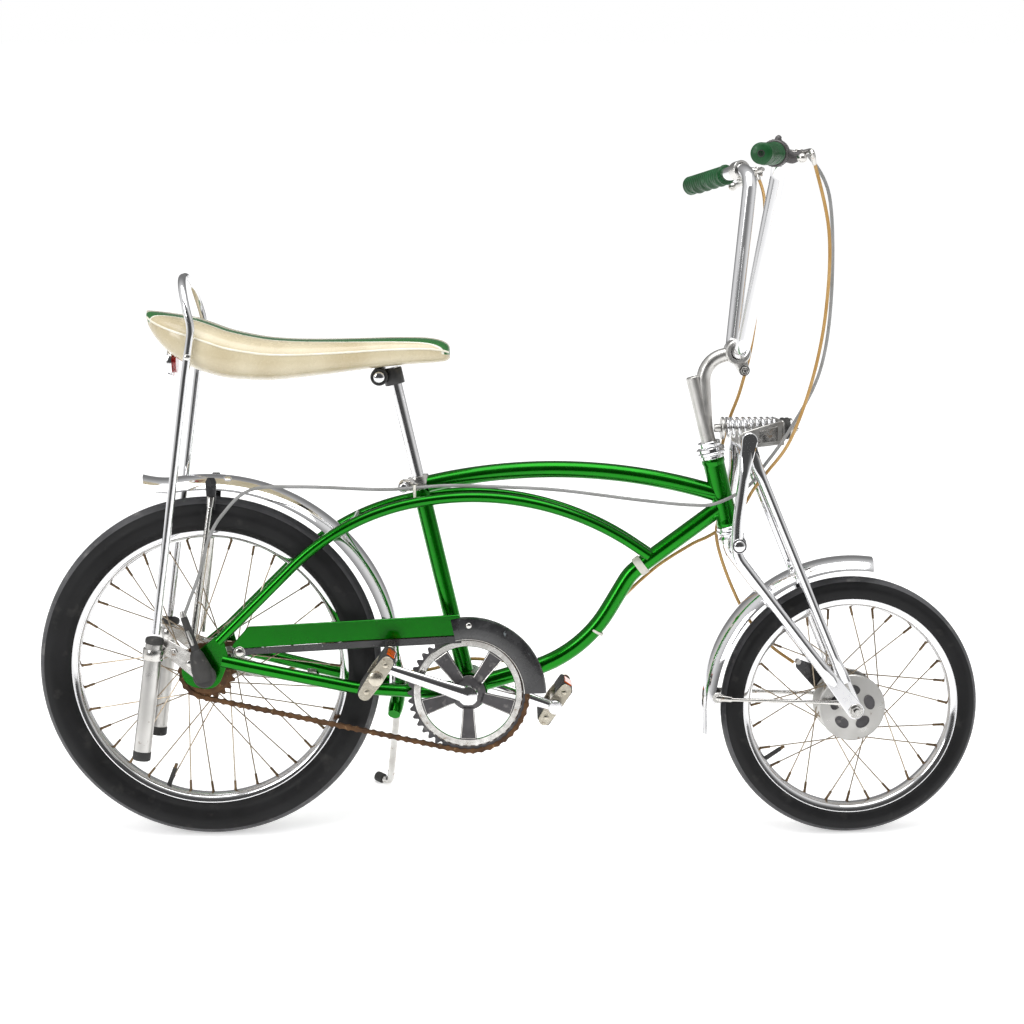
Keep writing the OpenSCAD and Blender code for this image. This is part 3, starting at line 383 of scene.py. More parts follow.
def vinyl_finish():
    """Cream vinyl with glitter: cloudy cream, bright specks, and two green stripes with white edges where
    the seam distance from the middle (the UV's second number, in metres) is between two limits."""
    m = finish("glitter_vinyl", (0.66, 0.58, 0.4), 0.0, 0.27, (0.5, 0.41, 0.24), 16, 0.75, (1500, 0.12), (35, 0.06),
               coat=0.55, marks=(0.95, 0.92, 0.8), marks_scale=1500, marks_cut=(0.66, 0.7))
    nodes, links = m.node_tree.nodes, m.node_tree.links
    shader = nodes["Principled BSDF"]
    old = shader.inputs["Base Color"].links[0].from_socket
    uv = nodes.new("ShaderNodeTexCoord")
    split = nodes.new("ShaderNodeSeparateXYZ")
    links.new(uv.outputs["UV"], split.inputs["Vector"])

    def band(low, high, below, colour):
        pieces = []
        for edge, flip in ((low, False), (high, True)):
            n = nodes.new("ShaderNodeMapRange")
            n.inputs["From Min"].default_value = edge - 0.0004
            n.inputs["From Max"].default_value = edge + 0.0004
            n.inputs["To Min"].default_value = 1.0 if flip else 0.0
            n.inputs["To Max"].default_value = 0.0 if flip else 1.0
            links.new(split.outputs["Y"], n.inputs["Value"])
            pieces.append(n.outputs["Result"])
        both = nodes.new("ShaderNodeMath")
        both.operation = "MULTIPLY"
        links.new(pieces[0], both.inputs[0])
        links.new(pieces[1], both.inputs[1])
        mix = nodes.new("ShaderNodeMix")
        mix.data_type = "RGBA"
        links.new(both.outputs[0], mix.inputs["Factor"])
        links.new(below, mix.inputs["A"])
        mix.inputs["B"].default_value = (*colour, 1)
        return mix.outputs["Result"]

    edged = band(0.0085, 0.0335, old, (0.86, 0.84, 0.74))
    striped = band(0.011, 0.031, edged, (0.006, 0.13, 0.012))
    links.new(striped, shader.inputs["Base Color"])
    return m


vinyl = vinyl_finish()
ALL_MATERIALS = {"candy_green": candy, "black_paint": black_gloss, "chrome": chrome, "hub_metal": satin_alloy,
                 "black_plastic": black_plastic, "tyre_rubber": tyre_rubber, "black_rubber": rubber, "seat_vinyl": vinyl,
                 "grip_rubber": grip_green, "rusty_steel": rusty, "dark_ring": ring_grey, "spoke_wire": wire,
                 "reflector_red": lens_red, "grey_cable": grey_casing, "tan_cable": gold_casing}
for part in frame["record"]["subparts"]:
    node = frame["nodes"][part["node"]]
    node.data.materials.clear()
    node.data.materials.append(ALL_MATERIALS[part["material_slot"]])


def add(shape, name, body, space, materials, replaces=(), angle=34):
    obj = shape.build(name, space, materials, angle)
    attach(obj, body)
    if replaces:
        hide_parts(*replaces)
    return obj


# Frame
s = Shape()
s.lathe([(14, 0.2), (16.6, 0.2), (17.4, 1.5), (17.4, 6), (16.2, 9), (16, 12), (16, 93), (16.2, 96), (17.4, 99),
         (17.4, 103.5), (16.6, 104.8), (14, 104.8)], HEAD_LOW, HEAD_DIR, 48)
s.tube(arc([35, 0, -276], 835, 73.0, 103.2, 60), 12.7, 36)
s.tube(bent([[[286, 0, 502.5], 0], [[150, 0, 401], 70], [[77, 0, 277], 200], [BB + [8, 0, 2.5], 0]], 3), 12.7, 36)
s.tube(straight(BB, POST_FOOT + 0.5 * SEAT_DIR, 12), 12.7, 36)
s.lathe([(10.5, 0), (12.7, 0), (14.2, 1), (14.2, 5), (12.7, 7)], POST_FOOT - 8 * SEAT_DIR, SEAT_DIR, 36)
s.lathe([(25.6, -34), (27.8, -34), (28.5, -33), (28.5, 33), (27.8, 34), (25.6, 34)], BB, Y, 56, ring=True)
stay = bent([[[178, 17, 430], 0], [[15, 21, 541], 440], [[-276.5, 42.5, 497.4], 350], [REAR_AXLE + [17, 57, 47], 0]], 1.2)
chain_stay = bent([[BB + [-10, 16, -4], 0], [BB + [-56, 22, -4], 60], [BB + [-168, 42, 7], 120],
                   [REAR_AXLE + [60, 56.5, 10], 80], [REAR_AXLE + [23, 58, 18.5], 0]], 3)
lug = hull([(-498, 261, 24), (-467, 307, 8.5), (-462, 280, 10.5), (-485, 259, 24)], 120)
for side in (1, -1):
    flip = np.array([1, side, 1])
    s.tube(stay * flip, 7.95, 28)
    s.tube(chain_stay * flip, 9.5, 28, ref=Z)
    s.plate(lug, side * 55.0, side * 61.0, 1.0)
s.tube(straight([-262, -38, 487], [-262, 38, 487], 2), 5, 20, ref=Z)
BRIDGE = REAR_AXLE + 300.1 * np.array([np.cos(radians(5.6)), 0, -np.sin(radians(5.6))])
s.tube(straight(BRIDGE - 30 * Y, BRIDGE + 30 * Y, 2), 7, 20, ref=Z)
PIVOT = np.array([-203.0, 42, 205])
KNEE = np.array([-224.0, 189, 31.5])
down = unit(KNEE - PIVOT)
STAND_AXIS = unit(np.cross(down, [-0.985, 0.08, 0.13]))
s.tube(straight(PIVOT - 39 * STAND_AXIS, PIVOT - 6 * STAND_AXIS, 5), np.array([9.5, 11, 11.5, 11.5, 11]), 28, ref=X)
s.tube(straight(PIVOT - 30 * STAND_AXIS, [-206, 25, 226], 2), 6, 20, ref=X)
add(s, "painted_frame", "frame", "frame", [candy], ["frame"])

s = Shape()
for foot, way in ((HEAD_LOW + 105 * HEAD_DIR, HEAD_DIR), (HEAD_LOW, -HEAD_DIR)):
    s.lathe([(12.9, 0.1), (18, 0.1), (18.5, 0.8), (18.5, 3.6), (17.6, 4.6), (19, 5.4), (20.2, 6), (20.5, 7), (20.5, 8.6),
             (19.6, 9.9), (12.9, 9.9)], foot, way, 48)
add(s, "headset_rings", "frame", "frame", [chrome], ["headset_cups"])

s = Shape()
s.tube(straight(POST_FOOT - 100 * SEAT_DIR, POST_TOP, 8), 10.3, 32)
add(s, "seat_pillar", "frame", "frame", [chrome], ["seat_post"])
s = Shape()
clamp_at = POST_TOP + np.array([-17, 0, -13])
for side in (1, -1):
    bolt(s, clamp_at + side * 26 * Y, side * Y, 8.5, 5, washer=0)
bolt(s, POST_FOOT + np.array([-22, -20, -9]), -Y, 6.5, 4, washer=8)
bolt(s, POST_FOOT + np.array([-22, 20, -9]), Y, 6, 5, dome=False)
add(s, "clamp_bolts", "frame", "frame", [chrome], ())

# Chain guard and its hood
s = Shape()
plate = np.array([[-447, 297], [-445, 303], [-426, 325], [-420, 328], [-108, 346], [-106, 344], [-99, 318], [-102, 316],
                  [-255, 308], [-430, 296]])
s.plate(plate, -56.2, -54, 0.8)
lip = np.array([[-426, 326.5], [-421, 329], [-109, 347], [-108, 344.6], [-420, 326.6], [-424, 324.5]])
s.plate(lip, -58.6, -52.5, 0.5)
add(s, "guard_plate", "frame", "frame", [candy], ["chain_guard"])
s = Shape()
band = np.array([[-443, 283], [-447, 289], [-446, 295.5], [-430, 295.5], [-255, 307], [-104, 315], [-104, 304], [-255, 296],
                 [-420, 286], [-434, 281.5]])
s.plate(band, -55.8, -53.4, 0.8)
s.tube(straight([-437, -54, 291], [-437, -50.2, 291], 2), 4, 16, ref=Z)
add(s, "guard_lower_band", "frame", "frame", [black_gloss], ())
s = Shape()
t = np.radians(np.linspace(1, 103, 64))[:, None]
section = np.array([(84, -56.2), (83.4, -58.2), (84.6, -58.6), (92, -59.2), (108, -59.2), (115, -58.4), (117, -55.5),
                    (117, -50), (116, -50), (116, -55), (114, -57), (92, -58), (85, -57.6)])
g = BB + np.stack([section[:, 0] * np.cos(t), np.broadcast_to(section[:, 1], (64, len(section))), section[:, 0] * np.sin(t)],
                  -1)
s.grid(g)
s.tube(straight([-121, -54, 338], [-121, -12.8, 338], 2), 3.5, 16, ref=Z)
add(s, "guard_hood_shell", "frame", "frame", [black_gloss], ["guard_hood"])
s = Shape()
s.tube(arc(BB - 58.9 * Y, 84.2, 1, 103, 60), 0.75, 8)
bolt(s, [-436, -55.8, 290], -Y, 7.5, 4, washer=9)
bolt(s, [-93, -59, 331], -Y, 4.5, 2.5)
add(s, "guard_trim", "frame", "frame", [worn_chrome], ())


# Wheels
def wheel(centre, tyre_r, tyre_w, rim_r, spokes, flange_r, flange_y, space, body, prefix, valve_angle):
    """Tyre, rim, crossed spokes with nipples and a valve. The tyre's section is a round with a flatter
    tread and fine sidewall lines; the rim's is a hooked channel."""
    r = tyre_w / 2
    t = np.radians(np.linspace(-132, 132, 57))
    lift = 1 + 0.012 * np.cos(t * 9) * (np.abs(t) > 0.85)
    section = np.stack([tyre_r - r + r * np.cos(t) * lift * np.where(np.abs(t) < 0.6, 0.994, 1), r * np.sin(t) * lift], -1)
    bead = np.array([(rim_r - 5, r * 0.42), (rim_r - 6, 0), (rim_r - 5, -r * 0.42)])
    section = np.vstack([section, bead])
    groove = np.zeros(len(section))
    tread = np.abs(np.arange(len(section)) - 28) < 9
    groove[np.abs(np.arange(len(section)) - 28) == 9] = -0.7
    groove[np.abs(np.arange(len(section)) - 28) == 4] = -0.5
    section[:, 0] += groove
    s = Shape()
    n = 180
    a = np.linspace(0, 2 * np.pi, n, endpoint=False)[None, :, None]
    spoke = np.cos(a) * X + np.sin(a) * Z
    rows = centre + section[:, 0, None, None] * spoke + section[:, 1, None, None] * Y
    rows = np.vstack([rows, rows[:1]])
    order = np.arange(len(rows))
    split = (18, 39)
    s.grid(rows[:split[0] + 1], ends=False)
    s.grid(rows[split[0]:split[1] + 1], ends=False, mat=1)
    s.grid(rows[split[1]:], ends=False)
    add(s, prefix + "_tyre_skin", body, space, [tyre_rubber, tread_rubber], [prefix + "_tyre"], 60)
    s = Shape()
    w = 16
    s.lathe([(rim_r + 0.4, -w), (rim_r + 0.8, -w + 1), (rim_r, -w + 2), (rim_r - 6, -w + 3), (rim_r - 8, -7), (rim_r - 10, -5),
             (rim_r - 10, 5), (rim_r - 8, 7), (rim_r - 6, w - 3), (rim_r, w - 2), (rim_r + 0.8, w - 1), (rim_r + 0.4, w),
             (rim_r - 2, w), (rim_r - 6, w - 1), (rim_r - 9, w - 3.5), (rim_r - 12, 8), (rim_r - 13, 5.5),
             (rim_r - 13, -5.5), (rim_r - 12, -8), (rim_r - 9, -w + 3.5), (rim_r - 6, -w + 1), (rim_r - 2, -w)],
            centre, Y, 180, ring=True)
    add(s, prefix + "_rim_hoop", body, space, [chrome], [prefix + "_rim"])
    s, c = Shape(), Shape()
    i = np.arange(spokes)
    side = np.where(i % 2 == 0, 1, -1)
    way = np.where((i // 2) % 2 == 0, 1, -1)
    a0 = 2 * np.pi * i / spokes
    b0 = a0 + way * radians(62)
    hub_end = np.stack([flange_r * np.cos(b0), -side * (flange_y + way * 2), flange_r * np.sin(b0)], -1)
    rim_end = np.stack([(rim_r - 12) * np.cos(a0), -side * (1.5 + way * 0.6), (rim_r - 12) * np.sin(a0)], -1)
    for p, q in zip(hub_end + centre, rim_end + centre):
        u = unit(q - p)
        s.tube(np.stack([p, q - 14 * u]), 1.0, 8, ref=Y)
        c.tube(np.stack([q - 17 * u, q - 16 * u, q - 4 * u, q + 1 * u]), np.array([1.1, 1.9, 1.9, 2.6]), 10, ref=Y)
    add(s, prefix + "_spoke_wires", body, space, [wire], [prefix + "_spokes"])
    v = np.cos(valve_angle) * X + np.sin(valve_angle) * Z
    c.tube(np.stack([centre + (rim_r - 12) * v, centre + (rim_r - 40) * v]), np.array([3.6, 3.2]), 14, ref=Y, mat=1)
    c.tube(np.stack([centre + (rim_r - 40) * v, centre + (rim_r - 47) * v]), np.array([2.6, 2.4]), 14, ref=Y)
    add(c, prefix + "_nipples", body, space, [nipple, rubber], ())


wheel(REAR_AXLE, 259, 54, 209, 36, 33, 30, "frame", "rear_wheel", "rear", radians(250))
wheel(FRONT_AXLE, 197, 40, 164, 28, 44, 26, "fork", "front_wheel", "front", radians(213))

# Hubs
s = Shape()
s.lathe([(5, -43.6), (24, -43.6), (26, -36), (37, -34), (37.5, -30), (36, -27), (27, -24), (24, 0), (26, 20), (28, 25),
         (36, 27), (37.5, 30), (36, 33), (26, 34), (23, 38), (22, 40), (5, 40)], REAR_AXLE, Y, 64)
add(s, "rear_hub_shell", "rear_wheel", "frame", [satin_alloy], ["rear_hub"])
s = Shape()
s.lathe([(5, -33.8), (11, -33.8), (12, -30), (38, -29.2), (49, -29), (50.5, -27.5), (50.5, -24.5), (49, -23), (41, -21),
         (38, -16), (37.5, 16), (41, 21), (49, 23), (50.5, 25), (50.5, 27.5), (49, 29), (46, 30.3), (5, 30.3)],
        FRONT_AXLE, Y, 80)
for k in range(5):
    a = radians(90 + 72 * k)
    spot = FRONT_AXLE + 27 * (np.cos(a) * X + np.sin(a) * Z)
    rim_t = np.linspace(0, 2 * np.pi, 28, endpoint=False)
    ring_path = spot - 29.6 * Y + np.outer(np.cos(rim_t) * 11.5, -np.sin(a) * X + np.cos(a) * Z) + np.outer(
        np.sin(rim_t) * 8, np.cos(a) * X + np.sin(a) * Z)
    g = np.stack([ring_path * 1.0, ring_path - 1.1 * Y, spot - 30.4 * Y + (ring_path - spot + 29.6 * Y) * 0.84,
                  spot - 29.9 * Y + (ring_path - spot + 29.6 * Y) * 0.8])
    s.grid(g, mat=1)
add(s, "front_hub_shell", "front_wheel", "fork", [satin_alloy, ring_grey], ["front_hub"])


# Chain and sprockets
def toothed(r, teeth, depth=3.4, per=10, phase=0.0):
    """A ring of teeth: the radius rises and falls as a rounded wave, flat in its valleys."""
    t = np.linspace(0, 2 * np.pi, teeth * per, endpoint=False)
    wave = np.cos(t * teeth + phase)
    return r + depth * np.clip(wave * 1.1, -1, 0.85), t


s = Shape()
RING_R, COG_R = 12.7 / (2 * np.sin(np.pi / 44)), 12.7 / (2 * np.sin(np.pi / 20))


def annulus(shape, centre, outer, t, inner, y0, y1, mat=0):
    """A flat ring whose outer edge follows a list of radii: four closed rows of points."""
    way = np.cos(t)[:, None] * X + np.sin(t)[:, None] * Z
    rows = [centre + inner * way + y0 * Y, centre + np.asarray(outer)[:, None] * way + y0 * Y,
            centre + np.asarray(outer)[:, None] * way + y1 * Y, centre + inner * way + y1 * Y]
    rows.append(rows[0])
    shape.grid(np.stack(rows), ends=False, mat=mat)


outer, t = toothed(RING_R - 0.6, 44)
annulus(s, BB, outer, t, 77, -46.2, -43.8)
s.lathe([(72, -47.6), (80, -47.6), (82, -46), (82, -44), (80, -42.6), (72, -42.6), (71, -44), (71, -46)], BB, Y, 120,
        ring=True, mat=1)
s.lathe([(11.2, -47), (24, -47), (26, -46), (26, -43.6), (24, -42.8), (11.2, -42.8)], BB, Y, 64, ring=True)
for k in range(5):
    a = radians(270 + 72 * k)
    u, v = np.cos(a) * X + np.sin(a) * Z, -np.sin(a) * X + np.cos(a) * Z
    bar = np.array([(20, -8.5), (40, -9.8), (73.5, -13), (73.5, 13), (40, 9.8), (20, 8.5)])
    s.plate(bar, -47.0, -43.0, 0.7, plane=(u, v, Y), at=BB)
    for edge in (-1, 1):
        p = BB + np.outer([24, 40, 69], u) + np.outer(edge * np.array([7.6, 8.6, 11.2]), v) - 47.1 * Y
        s.tube(p, 0.55, 6, ref=Y, mat=1)
    p = BB + np.outer(np.full(3, 69.5), u) + np.outer([-11.0, 0, 11.0], v) - 47.1 * Y
    s.tube(p, 0.55, 6, ref=Y, mat=1)
add(s, "spoked_chainring", "cranks", "frame", [ring_grey, worn_chrome], ["chainring"])

s = Shape()
outer, t = toothed(COG_R - 0.6, 20, per=14)
annulus(s, REAR_AXLE, outer, t, 16.2, -46.2, -43.8)
s.lathe([(20, -50), (33, -49.4), (36, -46.4), (20, -46.4)], REAR_AXLE, Y, 48, ring=True)
add(s, "rear_cog", "rear_wheel", "frame", [rusty], ["rear_sprocket"])

run = np.linalg.norm(BB - REAR_AXLE)
tilt = np.arctan2(BB[2] - REAR_AXLE[2], BB[0] - REAR_AXLE[0])
lap = np.arcsin((RING_R - COG_R) / run)
a = tilt - np.pi / 2 - lap + (np.pi + 2 * lap) * np.linspace(0, 1, 200)
b = tilt + np.pi / 2 + lap + (np.pi - 2 * lap) * np.linspace(0, 1, 100)
loop = np.vstack([np.stack([BB[0] + RING_R * np.cos(a), BB[2] + RING_R * np.sin(a)], -1),
                  np.stack([REAR_AXLE[0] + COG_R * np.cos(b), REAR_AXLE[2] + COG_R * np.sin(b)], -1)])
loop = np.vstack([loop, loop[:1]])
far = np.concatenate([[0], np.cumsum(np.linalg.norm(np.diff(loop, axis=0), axis=1))])
links_n = int(round(far[-1] / 12.7 / 2)) * 2
at = np.linspace(0, far[-1], links_n + 1)
pins = np.stack([np.interp(at, far, loop[:, 0]), np.interp(at, far, loop[:, 1])], -1)
s = Shape()
bone = np.array([(-0.5, -4.2), (-0.72, -3.4), (-0.84, 0), (-0.72, 3.4), (-0.5, 4.2), (-0.2, 3.0), (0, 2.7), (0.2, 3.0),
                 (0.5, 4.2), (0.72, 3.4), (0.84, 0), (0.72, -3.4), (0.5, -4.2), (0.2, -3.0), (0, -2.7), (-0.2, -3.0)])
for k in range(links_n):
    p, q = pins[k], pins[k + 1]
    u = (q - p) / np.linalg.norm(q - p)
    v = np.array([-u[1], u[0]])
    mid = (p + q) / 2
    o = mid + bone[:, :1] * 12.7 * u + bone[:, 1:] * v
    y = 3.1 if k % 2 == 0 else 1.9
    for side in (-1, 1):
        s.plate(o, -45 + side * y, -45 + side * (y + 1.1), 0.25)
    pin = np.array([p[0], -45, p[1]])
    s.tube(np.stack([pin - 4.6 * Y, pin + 4.6 * Y]), 1.8, 8, ref=Z)
    s.tube(np.stack([pin - 1.8 * Y, pin + 1.8 * Y]), 3.6, 10, ref=Z)
add(s, "link_chain", "frame", "frame", [rusty], ["chain"])

# Cranks and pedals
CRANK_DIR = np.array([np.cos(radians(161)), 0, np.sin(radians(161))])
RIGHT_EYE = BB + 140 * CRANK_DIR - 66 * Y
LEFT_EYE = BB - 140 * CRANK_DIR + 66 * Y
s = Shape()
s.tube(straight(BB - 60 * Y, BB + 60 * Y, 2), 10.9, 32, ref=Z)
for eye, side in ((RIGHT_EYE, -1), (LEFT_EYE, 1)):
    s.lathe([(10.6, 56), (13.8, 56.5), (15, 58), (15, 67.5), (13.6, 69.6), (10, 70.2), (0.1, 70.4)], BB, side * Y, 40)
    arm = eye - BB - side * 66 * Y
    p = smooth([BB + side * 65.6 * Y, BB + side * 65.7 * Y + 0.25 * arm, BB + side * 65.9 * Y + 0.8 * arm, eye], 10)
    k = np.linspace(0, 1, len(p))
    wide = np.interp(k, [0, 0.15, 0.8, 1], [12.5, 12.0, 7.6, 7.4])
    s.tube(p, np.stack([np.interp(k, [0, 1], [5.6, 5.2]), wide], -1), 28, ref=Y)
    s.lathe([(4.4, -7.4), (9.4, -7.2), (10.8, -5.8), (11.2, -3), (11.2, 3), (10.8, 5.8), (9.4, 7.2), (4.4, 7.4)], eye,
            side * Y, 36)
    s.lathe([(0.1, -3), (4.4, -3), (4.4, 8), (0.1, 8)], eye, side * Y, 20)
add(s, "one_piece_crank", "cranks", "frame", [chrome], ["crank"])
s = Shape()
for side in (1, -1):
    s.lathe([(11.2, 33.9), (24.5, 33.9), (25, 34.6), (25, 37.6), (23.5, 39), (20, 39.2), (19.5, 38.2), (14, 38.2),
             (13.5, 38.9), (11.2, 38.9)], BB, side * Y, 56, ring=True)
add(s, "bearing_cups", "frame", "frame", [worn_chrome], ["bracket_cups"])


def pedal(eye, side, body, prefix):
    """A rubber block pedal: two ribbed blocks on bolts between plates with rounded ends."""
    tilt = radians(-55)
    u = turn(X, Y, tilt)
    w = turn(Z, Y, tilt)
    s = Shape()
    plate_line = hull([(-28, 0, 9.5), (0, 0, 11.5), (28, 0, 9.5)], 60)
    for y in (14.6, 95.4):
        s.plate(plate_line, side * (y - 1.2), side * (y + 1.2), 0.5, plane=(u, w, Y), at=eye)
        for x in (-24, 24):
            at = eye + x * u + side * (y + (1.2 if y > 50 else -1.2)) * Y
            way = side * Y if y > 50 else -side * Y
            bolt(s, at, way, 4.2, 2.2)
    s.tube(straight(eye + side * 12.9 * Y, eye + side * 96 * Y, 2), 7.4, 24, ref=Z)
    s.lathe([(0.1, 96.6), (10.5, 96.6), (11, 97.4), (10.6, 99.2), (8, 101), (0.1, 101.4)], eye, side * Y, 28)
    add(s, prefix + "_plates", body, "frame", [nickel], [prefix + "_cage"])
    s = Shape()
    for x in (-24, 24):
        n = 40
        t = np.linspace(0, 2 * np.pi, n, endpoint=False)
        base = np.stack([np.sign(np.cos(t)) * np.abs(np.cos(t))**0.35 * 10.9, np.sign(np.sin(t)) * np.abs(np.sin(t))**0.35 * 10.9],
                        -1)
        y = np.array([16.2, 16.8] + [v for k in range(11) for v in (18 + 6.7 * k, 20.6 + 6.7 * k, 21.2 + 6.7 * k, 24.0 + 6.7 * k)]
                     + [93.2, 93.8])
        y = np.clip(y, 16.2, 93.8)
        y = np.maximum.accumulate(y)
        k = np.array([0.94, 1.0] + [v for _ in range(11) for v in (1.0, 1.0, 0.93, 0.93)] + [1.0, 0.94])
        g = eye + x * u + (base[None, :, :1] * k[:, None, None]) * u + (base[None, :, 1:] * k[:, None, None]) * w + (
            side * y[:, None, None]) * Y
        s.grid(g)
    add(s, prefix + "_blocks", body, "frame", [rubber], [prefix + "_rubbers"], 40)
    s = Shape()
    for way in (-1, 1):
        box = np.array([(-20, -6.5), (20, -6.5), (20, 6.5), (-20, 6.5)])
        s.plate(box, way * 35.1, way * 37.2, 0.6, plane=(Y, w, u), at=eye + side * 55 * Y)
    add(s, prefix + "_reflectors", body, "frame", [amber], ())


pedal(RIGHT_EYE, -1, "right_pedal", "right_pedal")
pedal(LEFT_EYE, 1, "left_pedal", "left_pedal")

# Side stand
KNEE = np.array([-224.0, 189, 31.5])
FOOT = np.array([-247.0, 207, 37.1])
toe = unit(FOOT - KNEE)
s = Shape()
s.tube(straight(PIVOT + 5 * STAND_AXIS, PIVOT - 38 * STAND_AXIS, 2), 5.9, 24, ref=X)
s.tube(straight(PIVOT - 5.8 * STAND_AXIS, PIVOT + 7.5 * STAND_AXIS, 4), np.array([10.6, 11.2, 11.2, 10.2]), 32, ref=X)
s.tube(bent([[PIVOT, 0], [KNEE, 13], [FOOT - 6 * toe, 0]], 6), 5.45, 24, ref=X)
add(s, "stand_leg", "side_stand", "frame", [worn_chrome], ["kickstand"])
s = Shape()
s.lathe([(5.6, 0), (7.4, 0.2), (8, 1), (8, 12), (7.6, 14.5), (6, 15.8), (0.1, 16)], FOOT - 16 * toe, toe, 28)
add(s, "stand_tip", "side_stand", "frame", [rubber], ["kickstand_tip"])

# Seat loop and dummy dampers
LOOP_Y = 77.6
s = Shape()
half = bent([[[-557, LOOP_Y, 322], 0], [[-508, LOOP_Y, 700], 90], [[-497, LOOP_Y, 775], 60],
             [[-516, LOOP_Y - 8, 846], 64], [[-516, 0, 846], 0]], 4)
low = straight(half[0], half[1], 80)
whole = np.vstack([low, half[2:], mirrored(half[:-1])[::-1][:-1], mirrored(low)[::-1]])
z = whole[:, 2]
flat = 1 - 0.4 * np.clip(1 - np.abs(z - 735) / 22, 0, 1)
s.tube(whole, np.stack([6.3 * flat, 6.3 * (2 - flat) * 0.98], -1), 26, ref=Y + 0.001 * X)
add(s, "seat_hoop", "frame", "frame", [chrome], ["seat_loop"])
s = Shape()
for side in (1, -1):
    bolt(s, [-503, side * (LOOP_Y + 3.6), 733], side * Y, 5.5, 3.5)
add(s, "hoop_bolts", "frame", "frame", [worn_chrome], ())

SHOCK_FOOT = np.array([-581.0, 86, 133])
SHOCK_TOP = np.array([-557.0, 86, 319])
up = unit(SHOCK_TOP - SHOCK_FOOT)
length = np.linalg.norm(SHOCK_TOP - SHOCK_FOOT)
s, c, b = Shape(), Shape(), Shape()
for side in (1, -1):
    f = [1, side, 1]
    foot, axis = SHOCK_FOOT * f, up * f
    s.lathe([(12, 13.9), (12.9, 14), (13, 15.5), (13, length - 12), (12.8, length - 10.2), (12, length - 10)], foot, axis, 40)
    c.lathe([(0.1, 0), (11.8, 0), (13.3, 1.2), (13.5, 3), (13.5, 12.5), (13.1, 14), (11.8, 14)], foot, axis, 40)
    c.lathe([(12.0, length - 10), (13.4, length - 9.6), (14, length - 8), (14, length - 4), (12.6, length - 1.5),
             (9, length - 0.3), (6.5, length + 0.3)], foot, axis, 40)
    b.lathe([(13.05, length - 34), (15.6, length - 34), (16, length - 33.4), (16, length - 18.6), (15.6, length - 18),
             (13.05, length - 18)], foot, axis, 44, ring=True)
    strap = np.array([[-490, 272], [-500, 287], [-541, 311], [-556, 305], [-558, 292], [-548, 289], [-497, 247], [-482, 247],
                      [-474, 259], [-480, 270]])
    b.plate(strap, side * 61.2, side * 64.8, 0.7)
    b.tube(straight([-548, side * 63, 300], [-548, side * 80, 300], 2), 5.9, 20, ref=Z)
    bolt(b, [-533, side * 64.8, 292], side * Y, 6.5, 4, dome=False)
    bolt(b, [-510, side * 64.8, 275], side * Y, 5.5, 3.5)
add(s, "damper_tubes", "frame", "frame", [satin_alloy], ["shock_bodies"])
add(c, "damper_ends", "frame", "frame", [rubber], ["shock_caps"])
add(b, "damper_straps", "frame", "frame", [worn_chrome], ["shock_brackets"])

# Axles, brake arm, shift sleeve
s = Shape()
s.tube(straight(REAR_AXLE - 78 * Y, REAR_AXLE + 80 * Y, 2), 4.7, 20, ref=Z)
for y0, y1, turnway in ((65.3, 74, 1), (46.9, 54.8, 1), (-74, -65.3, 1)):
    s.tube(straight(REAR_AXLE + y0 * Y, REAR_AXLE + y1 * Y, 2), 8.5, 6, ref=Z)
s.lathe([(0.1, 80), (6.5, 80), (7.4, 76), (8.2, 74), (0.1, 74)], REAR_AXLE, Y, 24)
add(s, "rear_axle_nuts", "frame", "frame", [worn_chrome], ["rear_axle"])
s = Shape()
arm = hull([(-485, 259, 20), (-470, 257, 15), (-394, 237, 7.5)], 90)
s.plate(arm, 43.3, 46.6, 0.6)
bolt(s, [-394, 46.6, 237], Y, 6, 4, dome=False)
bolt(s, [-394, 43.3, 237], -Y, 6, 5, dome=False)
s.tube(straight([-398, 49.5, 238], [-372, 55, 240], 4), np.array([3.2, 4.5, 4.5, 3]), 16, ref=Z)
s.lathe([(9.8, 0), (11.6, 0), (11.6, 14), (9.8, 14)], [-341, 50.5, 241], unit([84, -12, -4]), 28, ring=True)
add(s, "rear_brake_lever", "frame", "frame", [worn_chrome], ["rear_brake_arm"])

s = Shape()
s.lathe([(4.8, 78.2), (15, 78.2), (17, 80), (17, 88.5), (15, 91), (6, 91.8), (0.1, 92)], REAR_AXLE, -Y, 36)
boot = [REAR_AXLE + [0, -85, -6], REAR_AXLE + [-4, -85.5, 10], REAR_AXLE + [-9, -85.5, 26], REAR_AXLE + [-13, -85, 40]]
s.tube(smooth(boot, 8), np.interp(np.linspace(0, 1, 25), [0, 0.35, 0.8, 1], [13, 15.5, 10.5, 6.2]), 32, ref=Y)
s.tube(smooth([REAR_AXLE + [-12, -85, 38], REAR_AXLE + [-20, -85, 62], REAR_AXLE + [-30, -85, 92]], 8),
       np.interp(np.linspace(0, 1, 17), [0, 0.1, 0.9, 1], [5.6, 6.2, 5.4, 4]), 24, ref=Y)
add(s, "shift_sleeve", "frame", "frame", [rubber], ["shift_boot"])
s = Shape()
s.tube(straight(REAR_AXLE + [-15.5, -89.2, 48], REAR_AXLE + [-23.5, -89.2, 70], 4), np.array([2.6, 3.1, 3.1, 2.2]), 16, ref=Y)
s.tube(straight(REAR_AXLE + [-29.5, -85, 90], REAR_AXLE + [-31.5, -85, 98], 3), np.array([5.2, 5.2, 3.6]), 20, ref=Y)
add(s, "sleeve_metal", "frame", "frame", [satin_alloy], ())


